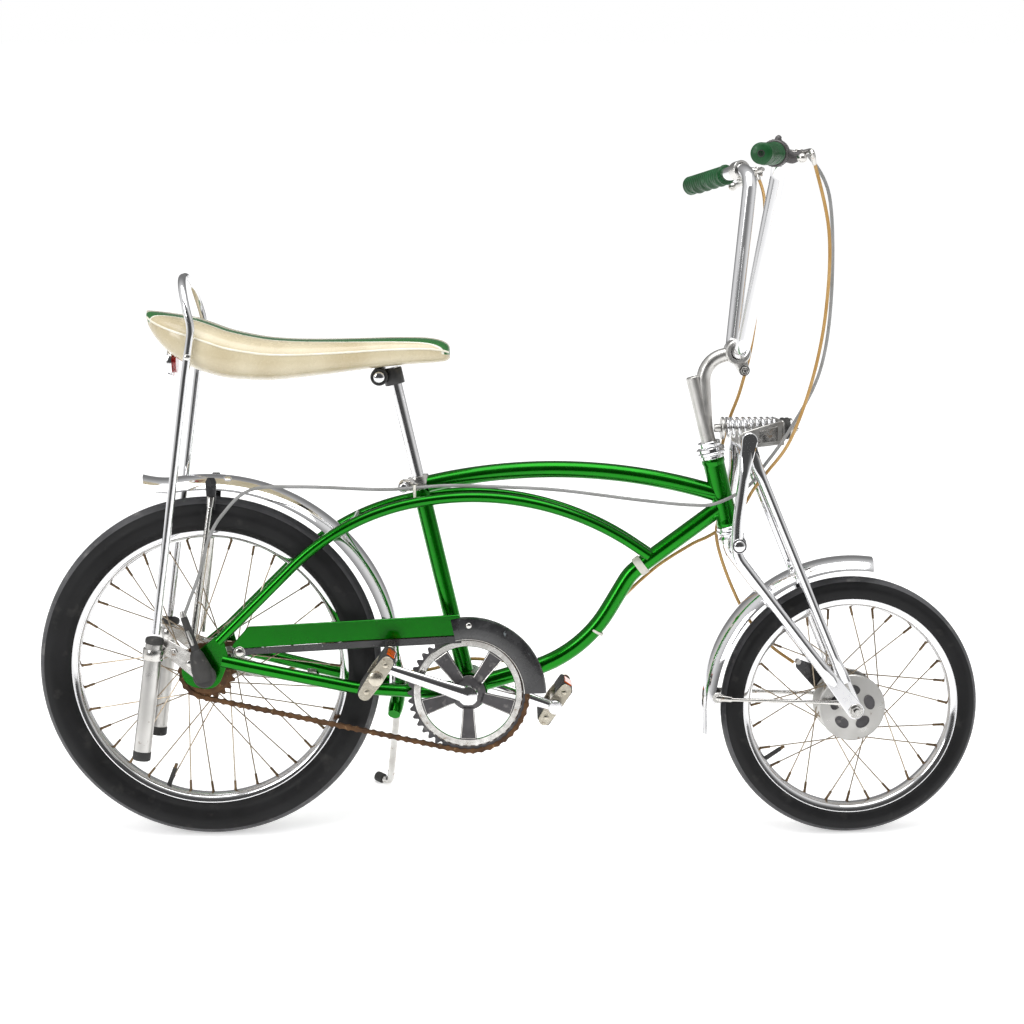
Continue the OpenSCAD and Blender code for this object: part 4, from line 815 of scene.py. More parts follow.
# Fenders
def fender(shape, centre, r_out, r_sec, a0, a1, flare=0.0, mat=0):
    """A fender: a part of a circle in section with a thickness, swept about
    the axle; the rear end may flare outwards."""
    half = np.linspace(-64, 64, 33)
    t = np.radians(half)
    ridge = 1.2 * np.exp(-(half / 9.0)**2)
    r1 = r_sec + ridge * 0.0
    shell = np.stack([r_out - r_sec + r1 * np.cos(t), r1 * np.sin(t)], -1)
    inner = np.stack([r_out - r_sec + (r_sec - 1.6) * np.cos(t), (r_sec - 1.6) * np.sin(t)], -1)[::-1]
    bead = np.array([[0.6, 0.8], [-0.6, 0.4]])
    line = np.vstack([shell, inner])
    a = np.radians(np.linspace(a0, a1, 90))
    way = np.cos(a)[:, None, None] * X + np.sin(a)[:, None, None] * Z
    lift = np.interp(a, [a[0], a[-1] - radians(9), a[-1]], [0, 0, 1.0])**2 * flare
    g = np.asarray(centre) + (line[None, :, :1] + lift[:, None, None]) * way + line[None, :, 1:] * Y
    shape.grid(g, mat=mat)


BRIDGE_WAY = unit(np.array([-262.0, 0, 487]) - REAR_AXLE)
s = Shape()
fender(s, REAR_AXLE, 293, 36, -8, 108.5, 15.0)
s.tube(straight(REAR_AXLE + 292 * BRIDGE_WAY, np.array([-262.0, 0, 487]) - 5 * BRIDGE_WAY, 2), 5, 16, ref=Y)
bolt(s, [-454, -15, 547], unit([0.1, -0.55, 0.9]), 6.5, 3)
add(s, "rear_fender_shell", "frame", "frame", [chrome], ["rear_fender"])

EDGE_Y = 36 * np.sin(radians(64)) + 0.1
EDGE_Z = 259 + 293 - 36 + 36 * np.cos(radians(64))
s = Shape()
for side in (1, -1):
    flat = np.array([[-483, EDGE_Z - 30], [-471.5, EDGE_Z - 30], [-469, EDGE_Z + 12], [-472, EDGE_Z + 18.5], [-482, EDGE_Z + 18.5],
                     [-485.5, EDGE_Z + 12]])
    s.plate(flat, side * EDGE_Y, side * (EDGE_Y + 2.5), 0.5, mat=1)
    p = bent([[[-477, EDGE_Y + 4.5, EDGE_Z - 10], 0], [[-479, EDGE_Y + 4.5, EDGE_Z - 27], 30], [[-506, 66, 300], 0]], 5) * [1, side, 1]
    k = np.linspace(0, 1, len(p))
    s.tube(p, np.stack([np.interp(k, [0, 0.2, 1], [2.2, 4.5, 4.5]), np.interp(k, [0, 0.2, 1], [5.6, 4.5, 4.5])], -1), 22, ref=Y)
add(s, "rear_fender_stays", "frame", "frame", [worn_chrome, black_gloss], ["rear_fender_braces"])

# Seat
s = Shape()
RAIL = [(-572, 12, 786, 792), (-566, 28, 771, 792), (-552, 48, 752, 790.5), (-530, 62, 731, 787.5), (-500, 69.5, 713, 782),
        (-475, 71, 704, 774), (-450, 71, 698, 765), (-420, 70, 695.5, 758), (-390, 67.5, 694.5, 753), (-355, 64, 697, 750.5),
        (-320, 59.5, 701, 750), (-280, 54, 706, 750.5), (-240, 48.5, 711.5, 751.5), (-200, 44.5, 716, 752.5),
        (-160, 41, 719, 752), (-138, 36, 720.5, 749), (-126, 28, 722.5, 744), (-121, 15, 726, 738)]
rail = smooth([[x, h, lo] for x, h, lo, _ in RAIL], 5)
top = smooth([[x, h, hi] for x, h, _, hi in RAIL], 5)[:, 2]
x, h, lo = rail.T
n = 48
t = np.linspace(0, 2 * np.pi, n, endpoint=False)
c, m = np.cos(t), np.sin(t)
side_y = np.sign(c) * np.abs(c)**0.62
rise = np.sign(m) * np.abs(m)**0.66
mid, deep = (lo + top) / 2, (top - lo) / 2
crown = 5.0 * (1 - side_y**2) * (rise > 0)
g = np.stack(np.broadcast_arrays(x[:, None], h[:, None] * side_y[None], mid[:, None] + deep[:, None] * rise[None] + crown[None]), -1)
v = np.where(rise > -0.2, np.abs(side_y), 9.0)[None] * h[:, None] / 1000
v = np.hstack([v, v[:, :1]])
uu = np.broadcast_to(x[:, None] / 1000, v.shape)
s.grid(g, uv=np.stack([uu, v], -1))
seat_obj = add(s, "banana_seat", "frame", "frame", [vinyl], ["seat"], 60)
s = Shape()
k = np.argmin(np.abs(t - radians(12)))
for side in (1, -1):
    edge = np.stack([x, side * h * 0.985 * np.cos(radians(12))**0.62 + side * 0.5, mid + deep * 0.42], -1)[3:-3]
    s.tube(edge, 1.6, 10, ref=Z)
add(s, "seat_piping", "frame", "frame", [pipe_cream], ())
s = Shape()
s.lathe([(0.1, 0), (22.5, 0.8), (23.4, 1.2), (25, 0.2), (25.2, 2), (25, 6), (18, 6.2), (18, 12), (0.1, 12)], [-540.2, 0, 722], X, 48)
add(s, "tail_reflector", "frame", "frame", [lens_red], ["rear_reflector"])
s = Shape()
s.lathe([(22.6, 0.4), (23.6, -0.9), (25.0, -0.8), (25.5, 0.4), (25.5, 6.4), (22.8, 6.4)], [-540.4, 0, 722], X, 56, ring=True)
add(s, "tail_reflector_rim", "frame", "frame", [chrome], ())
s = Shape()
s.lathe([(10.35, -26), (14.4, -26), (15, -25), (15, -3), (14.4, -2), (10.35, -2)], POST_TOP, SEAT_DIR, 40, ring=True)
clamp_mid = POST_TOP + np.array([-17, 0, -13])
for side in (1, -1):
    s.lathe([(0.1, 3), (12.2, 3), (13, 4), (13, 24.5), (12, 26), (9.4, 26), (9.0, 24.6), (0.1, 24.6)], clamp_mid, side * Y, 36)
s.tube(straight(clamp_mid - 4 * Y, clamp_mid + 4 * Y, 2), 10.5, 28, ref=Z)
add(s, "saddle_clamp", "frame", "frame", [black_plastic], ["seat_clamp"])
s = Shape()
s.lathe([(12.75, -14), (16, -14), (16.5, -13), (16.5, 4.6), (15.8, 6), (10.35, 6), (10.35, 0.4), (12.75, 0.4)], POST_FOOT, SEAT_DIR, 48,
        ring=True)
for side in (1, -1):
    s.plate(hull([(POST_FOOT[0] - 10, POST_FOOT[2] - 8, 7), (POST_FOOT[0] - 22, POST_FOOT[2] - 9, 8.5)], 40), side * 4, side * 11, 1.0)
s.tube(straight(POST_FOOT + [-22, -20, -9], POST_FOOT + [-22, 20, -9], 2), 4.4, 20, ref=Z)
add(s, "post_clamp", "frame", "frame", [worn_chrome], ["seat_binder"])
s = Shape()
down_dir = unit(np.array([134.0, 0, 100]))
s.lathe([(12.9, -6), (15, -6), (15.3, -5.4), (15.3, 5.4), (15, 6), (12.9, 6)], [165.5, 0, 412.6], down_dir, 40, ring=True)
add(s, "down_tube_band", "frame", "frame", [ivory], ["tube_band"])

# Fork
s = Shape()
for rows in ([(12.7, -26), (18, -26), (20, -24.5), (20, -18), (17, -14), (17, -12), (19.4, -10.7), (12.7, -10.6)],
             [(12.75, 115.4), (17.5, 115.4), (21.5, 116.4), (21.5, 120.6), (19.5, 122), (12.75, 122)],
             [(12.75, 123), (16.6, 123), (17, 124), (17, 130), (16, 131), (12.75, 131)]):
    s.lathe(rows, HEAD_LOW, HEAD_DIR, 44)
s.tube(straight(HEAD_LOW - 26 * HEAD_DIR, HEAD_LOW + 129 * HEAD_DIR, 2), 12.7, 32)
s.tube(straight([305, -43.3, 450], [305, 43.3, 450], 2), 12, 36, ref=Z)
s.tube(straight([305, 0, 450], HEAD_LOW - 13 * HEAD_DIR, 6), 17, 36)
for side in (1, -1):
    s.lathe([(12, 33), (14, 33.6), (14, 42), (13, 43.4), (12, 43.4)], [305, 0, 450], side * Y, 36)
add(s, "crown_and_steerer", "fork", "fork", [chrome], ["fork_crown"])

s = Shape()
for side in (1, -1):
    p = bent([[[317, 52, 590], 0], [[303, 52, 480], 300], [[302, 52, 434], 40], [[446, 52, 247], 0], ], 3)
    p = np.vstack([straight(p[0], p[1], 10)[:-1], p[1:-1], straight(p[-2], p[-1], 24)[1:], [[454, 52, 237]]]) * [1, side, 1]
    run = np.concatenate([[0], np.cumsum(np.linalg.norm(np.diff(p, axis=0), axis=1))])
    rest = run[-1] - run
    thin = np.interp(rest, [0, 10, 24, 60], [3.0, 3.4, 7.2, 8.5]) * np.interp(run, [0, 10, 30], [0.45, 0.6, 1])
    wide = np.interp(rest, [0, 10, 24, 60], [9.2, 10.2, 9.4, 8.5]) * np.interp(run, [0, 10, 30], [1.3, 1.25, 1])
    s.tube(p, np.stack([thin, wide], -1), 26, ref=Y)
    blade = hull([(446, 247, 9.8), (FRONT_AXLE[0], FRONT_AXLE[2], 13)], 70)
    s.plate(blade, side * 49.2, side * 54.8, 1.0)
    s.plate(hull([(320, 606, 12), (316.5, 584, 10)], 60), side * 48.6, side * 55.4, 1.2)
    bolt(s, [305, side * 60.4, 450], side * Y, 8.5, 4, washer=11)
add(s, "long_legs", "fork", "fork", [chrome], ["fork_legs"])

s = Shape()
for side in (1, -1):
    a, b = np.array([331.0, 41.5, 573]), np.array([466.0, 41.5, 249])
    p = straight(a + 0.035 * (a - b), b + 0.035 * (b - a), 60) * [1, side, 1]
    k = np.linspace(0, 1, 60)
    thin = np.interp(k, [0, 0.03, 0.09, 0.9, 0.965, 1], [2.4, 3.4, 7.5, 7.5, 3.4, 2.4])
    wide = np.interp(k, [0, 0.03, 0.09, 0.9, 0.965, 1], [8.2, 8.8, 7.5, 7.5, 9.6, 9.8])
    s.tube(p, np.stack([thin, wide], -1), 26, ref=Y)
    s.plate(hull([(463, 254, 9), (FRONT_AXLE[0], FRONT_AXLE[2], 12.5)], 60), side * 39.2, side * 42.9, 0.9)
    s.plate(hull([(463, 254, 4.5), (FRONT_AXLE[0] - 3, FRONT_AXLE[2] + 6, 5)], 60), side * 42.9, side * 43.6, 0.4, mat=1)
    s.plate(hull([(331, 573, 8.4), (320, 606, 10)], 60), side * 39.2, side * 42.9, 0.9)
add(s, "front_rods", "fork", "fork", [chrome, worn_chrome], ["fork_rods"])

s = Shape()
turns, r0 = 9, 13.5
t = np.linspace(0, turns * 2 * np.pi, turns * 28 + 1)
advance = np.interp(t, [0, 2 * np.pi, (turns - 1) * 2 * np.pi, turns * 2 * np.pi], [0, 5.4, 69.6, 75])
coil = np.array([292.0, 0, 622]) + np.stack([advance, r0 * np.cos(t), r0 * np.sin(t)], -1)
s.tube(coil, 2.5, 14, ref=X)
add(s, "fork_coil", "fork", "fork", [chrome], ["fork_spring"])

s = Shape()
for side in (1, -1):
    cheek = np.array([[306, 603], [309, 597], [318, 593.4], [345, 596], [374, 599.5], [374, 632.5], [367, 634], [340, 626],
                      [312, 617], [307, 611]])
    s.plate(cheek, side * 34.6, side * 38.4, 1.0)
    s.plate(np.array([[336, 601], [364, 604], [364, 627], [336, 619]]), side * 38.4, side * 39.4, 0.8, mat=1)
    bolt(s, [320, side * 46.4, 606], side * Y, 8, 5, washer=10)
s.plate(np.array([(-38.4, 598.2), (38.4, 598.2), (38.4, 627), (33, 634), (-33, 634), (-38.4, 627)]), 370, 374, 0.8,
        plane=(Y, Z, X))
s.tube(straight([274.6, 0, 621], [402, 0, 619.5], 2), 3.9, 20, ref=Z)
s.lathe([(4, 96.3), (14.6, 96.3), (15, 97.2), (15, 99.2), (14.2, 100.1), (4, 100.1)], [292, 0, 620.4], X, 36)
s.tube(straight([392.2, 0, 619.8], [398.8, 0, 619.8], 2), 7.5, 6, ref=Z)
s.lathe([(4, -7), (16.4, -7), (17, -6), (17, -3.8), (16.2, -2.9), (4, -2.9)], [292, 0, 621], X, 40)
s.lathe([(0.1, -17.4), (5.4, -17.4), (6.2, -16.2), (6.2, -8), (4, -7)], [292, 0, 621], X, 24)
for side in (1, -1):
    s.tube(straight([320, side * 35, 606], [320, side * 48, 606], 2), 4.4, 20, ref=Z)
add(s, "spring_cradle", "fork", "fork", [satin_alloy, worn_chrome], ["spring_yoke"])
s = Shape()
s.lathe([(4.5, 0), (15, 0), (16.5, 1.5), (16.5, 5), (15.4, 7), (16.5, 9), (16.5, 12.4), (15, 13.9), (4.5, 13.9)],
        [374.1, 0, 620], X, 40)
add(s, "front_buffer", "fork", "fork", [rubber], ["spring_bumper"])

# Stem and bars
s = Shape()
s.tube(straight(HEAD_LOW + 40 * HEAD_DIR, HEAD_LOW + 229.5 * HEAD_DIR, 8), 11.05, 36)
s.lathe([(11.05, 228), (10.6, 230.2), (9.2, 231.4), (6.4, 231.6), (5.6, 229), (0.1, 228.6)], HEAD_LOW, HEAD_DIR, 36)
s.tube(bent([[[262, 0, 618], 0], [[256, 0, 722], 38], [BAR_HUB + [-14, 0, -3.4], 0]], 4), 10.6, 32)
s.lathe([(11.2, -16.4), (17, -16.4), (19, -14.4), (19, 14.4), (17, 16.4), (11.2, 16.4)], BAR_HUB, Y, 44, ring=True)
s.plate(hull([(314, 718, 9), (318, 708, 7)], 40), -14.4, 14.4, 1.5)
add(s, "gooseneck", "fork", "fork", [satin_alloy], ["stem"])
s = Shape()
bolt(s, [317, -14.6, 708], -Y, 6.2, 5, dome=False, washer=8.4)
bolt(s, [317, 14.6, 708], Y, 6.2, 5, dome=False)
add(s, "gooseneck_bolt", "fork", "fork", [worn_chrome], ())

BAR_END = np.array([288.0, 292, 1004])
BAR_TOP = np.array([353.0, 116, 1020])
OUT = unit(BAR_END - BAR_TOP)
s = Shape()
half = bent([[BAR_HUB, 0], [BAR_HUB + [0, 44, 0], 26], [BAR_TOP, 42], [BAR_END, 0]], 3)
s.tube(np.vstack([mirrored(half)[::-1][:-1], half]), 11.05, 32, ref=X)
add(s, "high_bars", "fork", "bar", [chrome], ["handlebar"])
s = Shape()
k = np.linspace(0, 115, 116)
t = np.linspace(0, 2 * np.pi, 56, endpoint=False)
fine = 0.45 * np.sign(np.sin(k * 2 * np.pi / 6.5))
finger = 1.9 * np.cos((k - 18) * 2 * np.pi / 23.0) * (k > 8) * (k < 102)
ends = np.interp(k, [0, 2, 6, 109, 113, 115], [-1.5, 1.5, 0, 0, 0.6, -3])
for side in (1, -1):
    axis = OUT * [1, side, 1]
    n1 = unit(np.cross(axis, Z))
    n2 = np.cross(axis, n1)
    under = np.clip(-np.sin(t) * side * np.sign(n2[2] * side), 0, 1)[None] ** 1.5
    r = 14.6 + ends[:, None] + (fine * (k > 8) * (k < 108))[:, None] * (1 - under) + finger[:, None] * under
    start = BAR_END * [1, side, 1] - 112 * axis
    g = start + k[:, None, None] * axis + r[..., None] * (np.cos(t)[None, :, None] * n1 + np.sin(t)[None, :, None] * n2)
    inner = np.linspace(0, 1, 5)[1:, None, None]
    s.grid(g)
    s.lathe([(4.6, 115.0), (5.0, 115.8), (4.0, 116.0), (3.2, 112), (0.1, 111.6)], start, axis, 24, mat=1)
add(s, "finger_grips", "fork", "bar", [grip_green, rubber], ["grips"], 50)

s = Shape()
for side in (1, -1):
    way = np.array([1, side, 1])
    axis = OUT * way
    ring = BAR_END * way - 151 * axis
    s.lathe([(11.1, -9), (14.4, -9), (15.1, -8), (15.1, 8), (14.4, 9), (11.1, 9)], ring, axis, 36, ring=True)
    pivot = BAR_END * way - 152 * axis + [30, 0, -2]
    tip = BAR_END * way - 30 * axis + [52, 0, -6]
    s.tube(straight(ring + [11, 0, 0], pivot, 6), np.stack([np.linspace(7.6, 6, 6), np.linspace(6.4, 5, 6)], -1), 20, ref=axis)
    s.lathe([(0.1, -7.4), (5.4, -7.4), (6, -6.6), (6, 6.6), (5.4, 7.4), (0.1, 7.4)], pivot, Z, 24)
    blade = smooth([pivot - 6 * axis, pivot + 16 * axis + [5, 0, 0], (pivot + tip) / 2 + [5, 0, 0], tip - 14 * axis, tip], 10)
    kk = np.linspace(0, 1, len(blade))
    s.tube(blade, np.stack([np.interp(kk, [0, 0.1, 0.9, 1], [5, 5.4, 4, 3.6]), np.interp(kk, [0, 0.1, 0.9, 1], [3.6, 3.4, 2.8, 3.2])],
                           -1), 20, ref=Z)
    v = np.linspace(-np.pi / 2, np.pi / 2, 13)
    s.lathe(np.stack([np.maximum(7 * np.cos(v), 0.1), 7 * np.sin(v)], -1), tip, unit(tip - pivot), 24)
    s.tube(straight(pivot + [-6, 0, 0] - 12 * axis, pivot + [-6, 0, 0] - 24 * axis, 3), np.array([4.2, 4.2, 3.2]), 16, ref=Z)
    bolt(s, ring + [0, 0, -15], -Z, 4.5, 3.5)
add(s, "lever_set", "fork", "bar", [worn_chrome], ["brake_levers"])

s = Shape()
axis = OUT * [1, -1, 1]
ring = BAR_END * [1, -1, 1] - 136 * axis
k = np.linspace(0, 22, 23)
t = np.linspace(0, 2 * np.pi, 120, endpoint=False)
n1 = unit(np.cross(axis, Z))
n2 = np.cross(axis, n1)
knurl = 0.55 * np.sign(np.sin(t * 30))[None] * ((k > 4) * (k < 18))[:, None]
r = np.interp(k, [0, 1.2, 20.5, 22], [17.5, 19.3, 19.3, 17.5])[:, None] + knurl
s.grid(ring + k[:, None, None] * axis + r[..., None] * (np.cos(t)[None, :, None] * n1 + np.sin(t)[None, :, None] * n2))
lobe = BAR_END * [1, -1, 1] - 126 * axis
s.tube(smooth([lobe + [6, 0, 4], lobe + [22, 0, -6], lobe + [34, 2, -3], lobe + [44, 4, 2]], 6),
       np.interp(np.linspace(0, 1, 19), [0, 0.4, 0.8, 1], [10, 8.5, 5, 3.4]), 20, ref=Y)
s.tube(smooth([lobe + [2, 0, 8], lobe + [4, 0, 20], lobe + [7, 0, 24]], 6),
       np.interp(np.linspace(0, 1, 13), [0, 0.6, 1], [6.5, 4.8, 2.2]), 18, ref=Y)
add(s, "grip_shifter", "fork", "bar", [shifter_grey], ["twist_shifter"])

# Front fender, its braces, axle and brake arm
s = Shape()
fender(s, FRONT_AXLE, 229, 34, 82, 190, 3.0)
for side in (1, -1):
    s.plate(circle(402.55, 401.3, 6.8, 32), side * 28.4, side * 33.9, 0.5)
add(s, "front_fender_shell", "fork", "fork", [chrome], ["front_fender"])
s = Shape()
FRONT_EDGE = 34 * np.sin(radians(64)) + 0.1
for side in (1, -1):
    s.plate(hull([(279, 216, 8), (290, 215, 4)], 40), side * FRONT_EDGE, side * (FRONT_EDGE + 2.4), 0.5)
    bolt(s, [279, side * (FRONT_EDGE + 2.4), 216], side * Y, 4, 2.4)
    p = bent([[[280, 35, 216], 0], [[300, 36.6, 214], 30], [[468, 37.4, 207], 0]], 5) * [1, side, 1]
    p = np.vstack([p[:-1], straight(p[-2], p[-1], 16)[1:]])
    kk = np.linspace(0, 1, len(p))
    s.tube(p, np.stack([np.interp(kk, [0, 0.2, 0.9, 1], [1.6, 3, 3, 1.6]), np.interp(kk, [0, 0.2, 0.9, 1], [4.6, 3, 3, 4.8])], -1),
           18, ref=Y)
    s.plate(hull([(FRONT_AXLE[0], FRONT_AXLE[2], 9), (466, FRONT_AXLE[2] + 6, 4.4)], 50), side * 36.1, side * 38.8, 0.5)
add(s, "front_fender_stays", "fork", "fork", [worn_chrome], ["front_fender_braces"])
s = Shape()
s.tube(straight(FRONT_AXLE - 70 * Y, FRONT_AXLE + 70 * Y, 2), 4.7, 20, ref=Z)
for side in (1, -1):
    s.lathe([(4.7, 55), (10.6, 55), (11, 55.6), (11, 56.6), (10.4, 57.2), (4.7, 57.2)], FRONT_AXLE, side * Y, 30)
    s.tube(straight(FRONT_AXLE + side * 57.2 * Y, FRONT_AXLE + side * 64 * Y, 2), 8.5, 6, ref=Z)
add(s, "front_axle_nuts", "fork", "fork", [worn_chrome], ["front_axle"])
s = Shape()
s.lathe([(4.8, 31.4), (45, 31.4), (46, 32), (46, 33.2), (44, 33.9), (30, 33.9), (28, 35), (12, 35), (4.8, 34.4)], FRONT_AXLE, Y, 64)
arm = hull([(FRONT_AXLE[0] - 24, FRONT_AXLE[2] + 24, 20), (FRONT_AXLE[0] - 68, FRONT_AXLE[2] + 55, 8)], 60)
s.plate(arm, 31.5, 34.6, 0.6, mat=1)
bolt(s, [FRONT_AXLE[0] - 68, 34.6, FRONT_AXLE[2] + 55], Y, 6, 4, dome=False)
s.tube(straight([FRONT_AXLE[0] - 72, 29, FRONT_AXLE[2] + 60], [FRONT_AXLE[0] - 72, 44, FRONT_AXLE[2] + 60], 4),
       np.array([3.6, 4.8, 4.8, 3.6]), 18, ref=Z)
add(s, "front_brake_plate", "fork", "fork", [satin_alloy, black_gloss], ["front_brake_arm"])

# Cables: the same routes as in the CAD source
shift_start = BAR_END * [1, -1, 1] - 126 * OUT * [1, -1, 1]
shift_start = steered(barred(shift_start)) + [42, 6, 4]
shift_route = [shift_start, shift_start + [37, 10, -63], [429, -140, 833], [420, -95, 715], [382, -53, 624],
               [346, -22, 564], [322, -23, 534], [277, -27, 511], [238, -24, 508], [163, -22, 515], [43, -22, 530],
               [-46, -22, 535], [-121, -22, 537], [-174, -24, 534], [-226, -30, 532], [-343, -46, 538], [-416, -62, 535],
               [-456, -76, 500], [-476, -84, 464], [-488, -85, 419], [-505, -85, 374], [-514, -85, 350]]
rear_brake_route = [[388, -215, 1028], [417, -190, 920], [420, -150, 805], [407, -110, 702], [382, -60, 609],
                    [352, -20, 556], [334, -10, 530], [323, 6, 506], [311, 25, 485], [291, 30, 466], [268, 29, 452],
                    [242, 26, 440], [189, 21, 406], [136, 20, 356], [106, 20, 313], [52, 21, 270], [0, 22, 260],
                    [-50, 24, 262], [-98, 24, 264], [-150, 34, 247], [-190, 41, 241], [-230, 47, 243], [-262, 54, 242],
                    [-309, 59, 248], [-350, 62, 247], [-380, 54, 240], [-393, 49.6, 237]]
front_brake_route = [[353, 178, 996], [361, 148, 950], [348, 80, 839], [333, 42, 743], [316, 31, 676], [300, 30, 631],
                     [288, 34, 577], [291, 38, 508], [284, 42, 445], [318, 50, 351], [361, 52, 288], [404, 38, 256]]
for name, route, node, material, slot in (
        ("shift_line", shift_route, "shift_cable", grey_casing, "grey_cable"),
        ("rear_brake_line", rear_brake_route, "rear_brake_cable", gold_casing, "tan_cable"),
        ("front_brake_line", front_brake_route, "front_brake_cable", gold_casing, "tan_cable")):
    s = Shape()
    p = smooth(route, 10)
    s.tube(p, 2.5, 14, ref=np.array([0.3, 1.0, 0.2]))
    obj = s.build(name, "frame", [material])
    if node == "front_brake_cable":
        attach(obj, "fork")
    else:
        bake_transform(obj)
    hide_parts(node)
s = Shape()
for route, side in ((rear_brake_route, -1), (front_brake_route, 1)):
    way = np.array([1, side, 1])
    hold = steered(barred(BAR_END * way - 150 * OUT * way + [28, 0, -2]))
    end = np.array(route[0], float)
    nxt = end + 0.16 * (np.array(route[1]) - end)
    s.tube(smooth([hold, (hold + end) / 2 + [2, 0, 2], end, nxt], 5), np.interp(np.linspace(0, 1, 16), [0, 0.5, 0.8, 1],
                                                                             [4.2, 3.6, 3.8, 3.0]), 16, ref=X)
add(s, "cable_ferrules", "fork", "frame", [worn_chrome], ())
s = Shape()
s.plate(hull([(-21.4, 511.5, 9.4), (-24, 534, 3.8)], 48), -1.9, 1.9, 0.5, plane=(Y, Z, X), at=[-174, 0, 0])
tube_dir, tube_side = unit([73, 0, 124]), unit([124.0, 0, -73])
s.plate(hull([(0, 0, 13.6), (20, 6.9, 3.6)], 48), -1.9, 1.9, 0.5, plane=(Y, tube_side, tube_dir), at=[98, 0, 313])
add(s, "cable_ties", "frame", "frame", [ivory], ())


# Floor, light and camera
def stage_floor():
    mesh = bpy.data.meshes.new("studio_floor")
    edge = 14.0
    mesh.from_pydata([(-edge, -edge, 0), (edge, -edge, 0), (edge, edge, 0), (-edge, edge, 0)], [], [(0, 1, 2, 3)])
    obj = bpy.data.objects.new("studio_floor", mesh)
    bpy.context.scene.collection.objects.link(obj)
    m = bpy.data.materials.new("studio_white")
    m.use_nodes = True
    nodes, links = m.node_tree.nodes, m.node_tree.links
    shader = nodes["Principled BSDF"]
    shader.inputs["Base Color"].default_value = (0.93, 0.93, 0.93, 1)
    shader.inputs["Roughness"].default_value = 0.9
    shader.inputs["Specular IOR Level"].default_value = 0.0
    shine = nodes.new("ShaderNodeEmission")
    path = nodes.new("ShaderNodeLightPath")
    strength = nodes.new("ShaderNodeMapRange")
    strength.inputs["To Min"].default_value = 0.0
    strength.inputs["To Max"].default_value = 0.44
    both = nodes.new("ShaderNodeAddShader")
    seen = nodes.new("ShaderNodeMath")
    seen.operation = "MAXIMUM"
    links.new(path.outputs["Is Camera Ray"], seen.inputs[0])
    links.new(path.outputs["Is Glossy Ray"], seen.inputs[1])
    links.new(seen.outputs[0], strength.inputs["Value"])
    links.new(strength.outputs["Result"], shine.inputs["Strength"])
    links.new(shader.outputs["BSDF"], both.inputs[0])
    links.new(shine.outputs["Emission"], both.inputs[1])
    links.new(both.outputs["Shader"], nodes["Material Output"].inputs["Surface"])
    mesh.materials.append(m)


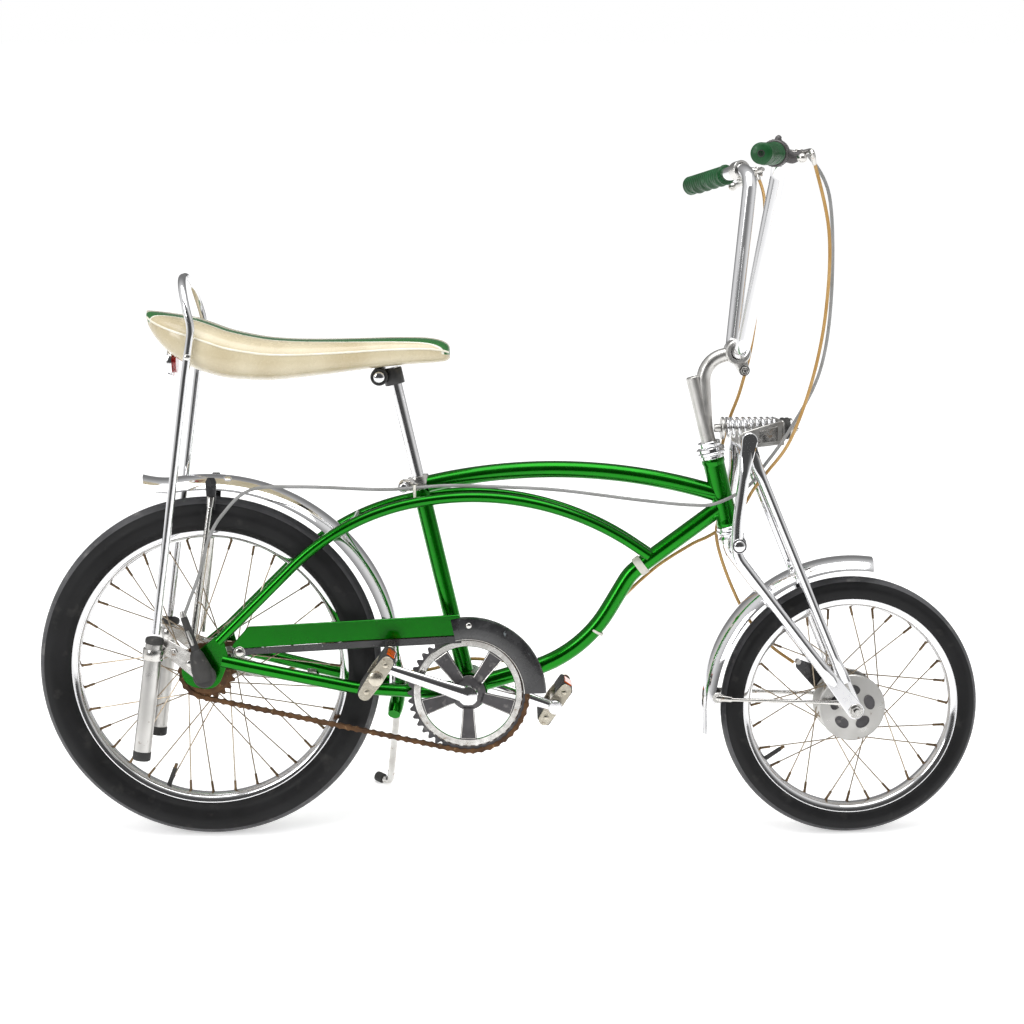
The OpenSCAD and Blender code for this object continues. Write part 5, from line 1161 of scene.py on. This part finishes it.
def studio_world():
    """White for what is seen; metal also sees the darker side of the room behind the camera."""
    world = bpy.data.worlds.new("studio")
    bpy.context.scene.world = world
    world.use_nodes = True
    nodes, links = world.node_tree.nodes, world.node_tree.links
    nodes.clear()
    out = nodes.new("ShaderNodeOutputWorld")
    soft, white, room = (nodes.new("ShaderNodeBackground") for _ in range(3))
    soft.inputs["Color"].default_value = (1, 1, 1, 1)
    soft.inputs["Strength"].default_value = 0.62
    white.inputs["Color"].default_value = (1, 1, 1, 1)
    white.inputs["Strength"].default_value = 1.0
    where = nodes.new("ShaderNodeTexCoord")
    split = nodes.new("ShaderNodeSeparateXYZ")
    ramp = nodes.new("ShaderNodeMapRange")
    ramp.interpolation_type = "SMOOTHSTEP"
    for name, value in (("From Min", -0.9), ("From Max", -0.15), ("To Min", 0.07), ("To Max", 0.8)):
        ramp.inputs[name].default_value = value
    fade = nodes.new("ShaderNodeMapRange")
    fade.interpolation_type = "SMOOTHSTEP"
    for name, value in (("From Min", 0.05), ("From Max", 0.9), ("To Min", 1.0), ("To Max", 0.28)):
        fade.inputs[name].default_value = value
    level = nodes.new("ShaderNodeMath")
    level.operation = "MULTIPLY"
    links.new(where.outputs["Generated"], split.inputs["Vector"])
    links.new(split.outputs["Y"], ramp.inputs["Value"])
    links.new(split.outputs["Y"], fade.inputs["Value"])
    links.new(ramp.outputs["Result"], level.inputs[0])
    links.new(fade.outputs["Result"], level.inputs[1])
    room.inputs["Color"].default_value = (1, 1, 1, 1)
    links.new(level.outputs[0], room.inputs["Strength"])
    path = nodes.new("ShaderNodeLightPath")
    first, second = nodes.new("ShaderNodeMixShader"), nodes.new("ShaderNodeMixShader")
    seen = nodes.new("ShaderNodeMath")
    seen.operation = "MAXIMUM"
    links.new(path.outputs["Is Camera Ray"], seen.inputs[0])
    links.new(path.outputs["Is Transmission Ray"], seen.inputs[1])
    links.new(seen.outputs[0], first.inputs["Fac"])
    links.new(soft.outputs[0], first.inputs[1])
    links.new(white.outputs[0], first.inputs[2])
    links.new(path.outputs["Is Glossy Ray"], second.inputs["Fac"])
    links.new(first.outputs[0], second.inputs[1])
    links.new(room.outputs[0], second.inputs[2])
    links.new(second.outputs[0], out.inputs["Surface"])


def aimed(obj, place, target):
    """Places an object and points its -Z at the target."""
    place, target = np.asarray(place, float), np.asarray(target, float)
    back = unit(place - target)
    right = unit(np.cross([0, 0, 1], back))
    up_way = np.cross(back, right)
    m = np.eye(4)
    m[:3, 0], m[:3, 1], m[:3, 2], m[:3, 3] = right, up_way, back, place
    obj.matrix_world = Matrix(m.tolist())
    bpy.context.scene.collection.objects.link(obj)


def softbox(name, place, target, width, height, power, mirrored_in_metal=True):
    light = bpy.data.lights.new(name, "AREA")
    light.shape = "RECTANGLE"
    light.size, light.size_y = width, height
    light.energy = power
    obj = bpy.data.objects.new(name, light)
    obj.visible_glossy = mirrored_in_metal
    aimed(obj, place, target)


stage_floor()
studio_world()
softbox("overhead", (0, -0.4, 3.4), (0, 0.001, 0.4), 3.2, 2.4, 60)
softbox("key_left", (-2.6, -2.6, 2.4), (0, 0, 0.5), 1.2, 2.0, 38)
softbox("fill_right", (2.8, -2.2, 1.9), (0, 0, 0.5), 1.0, 1.8, 22, False)
lens = bpy.data.cameras.new("photo_camera")
lens.lens, lens.sensor_width = 85.9, 36
camera = bpy.data.objects.new("photo_camera", lens)
aimed(camera, (0.0025, -3.6317, 1.4824), (0.0025, -0.0881, 0.4896))
bpy.context.scene.camera = camera
bpy.context.scene.view_settings.view_transform = "Standard"

bpy.context.view_layer.update()
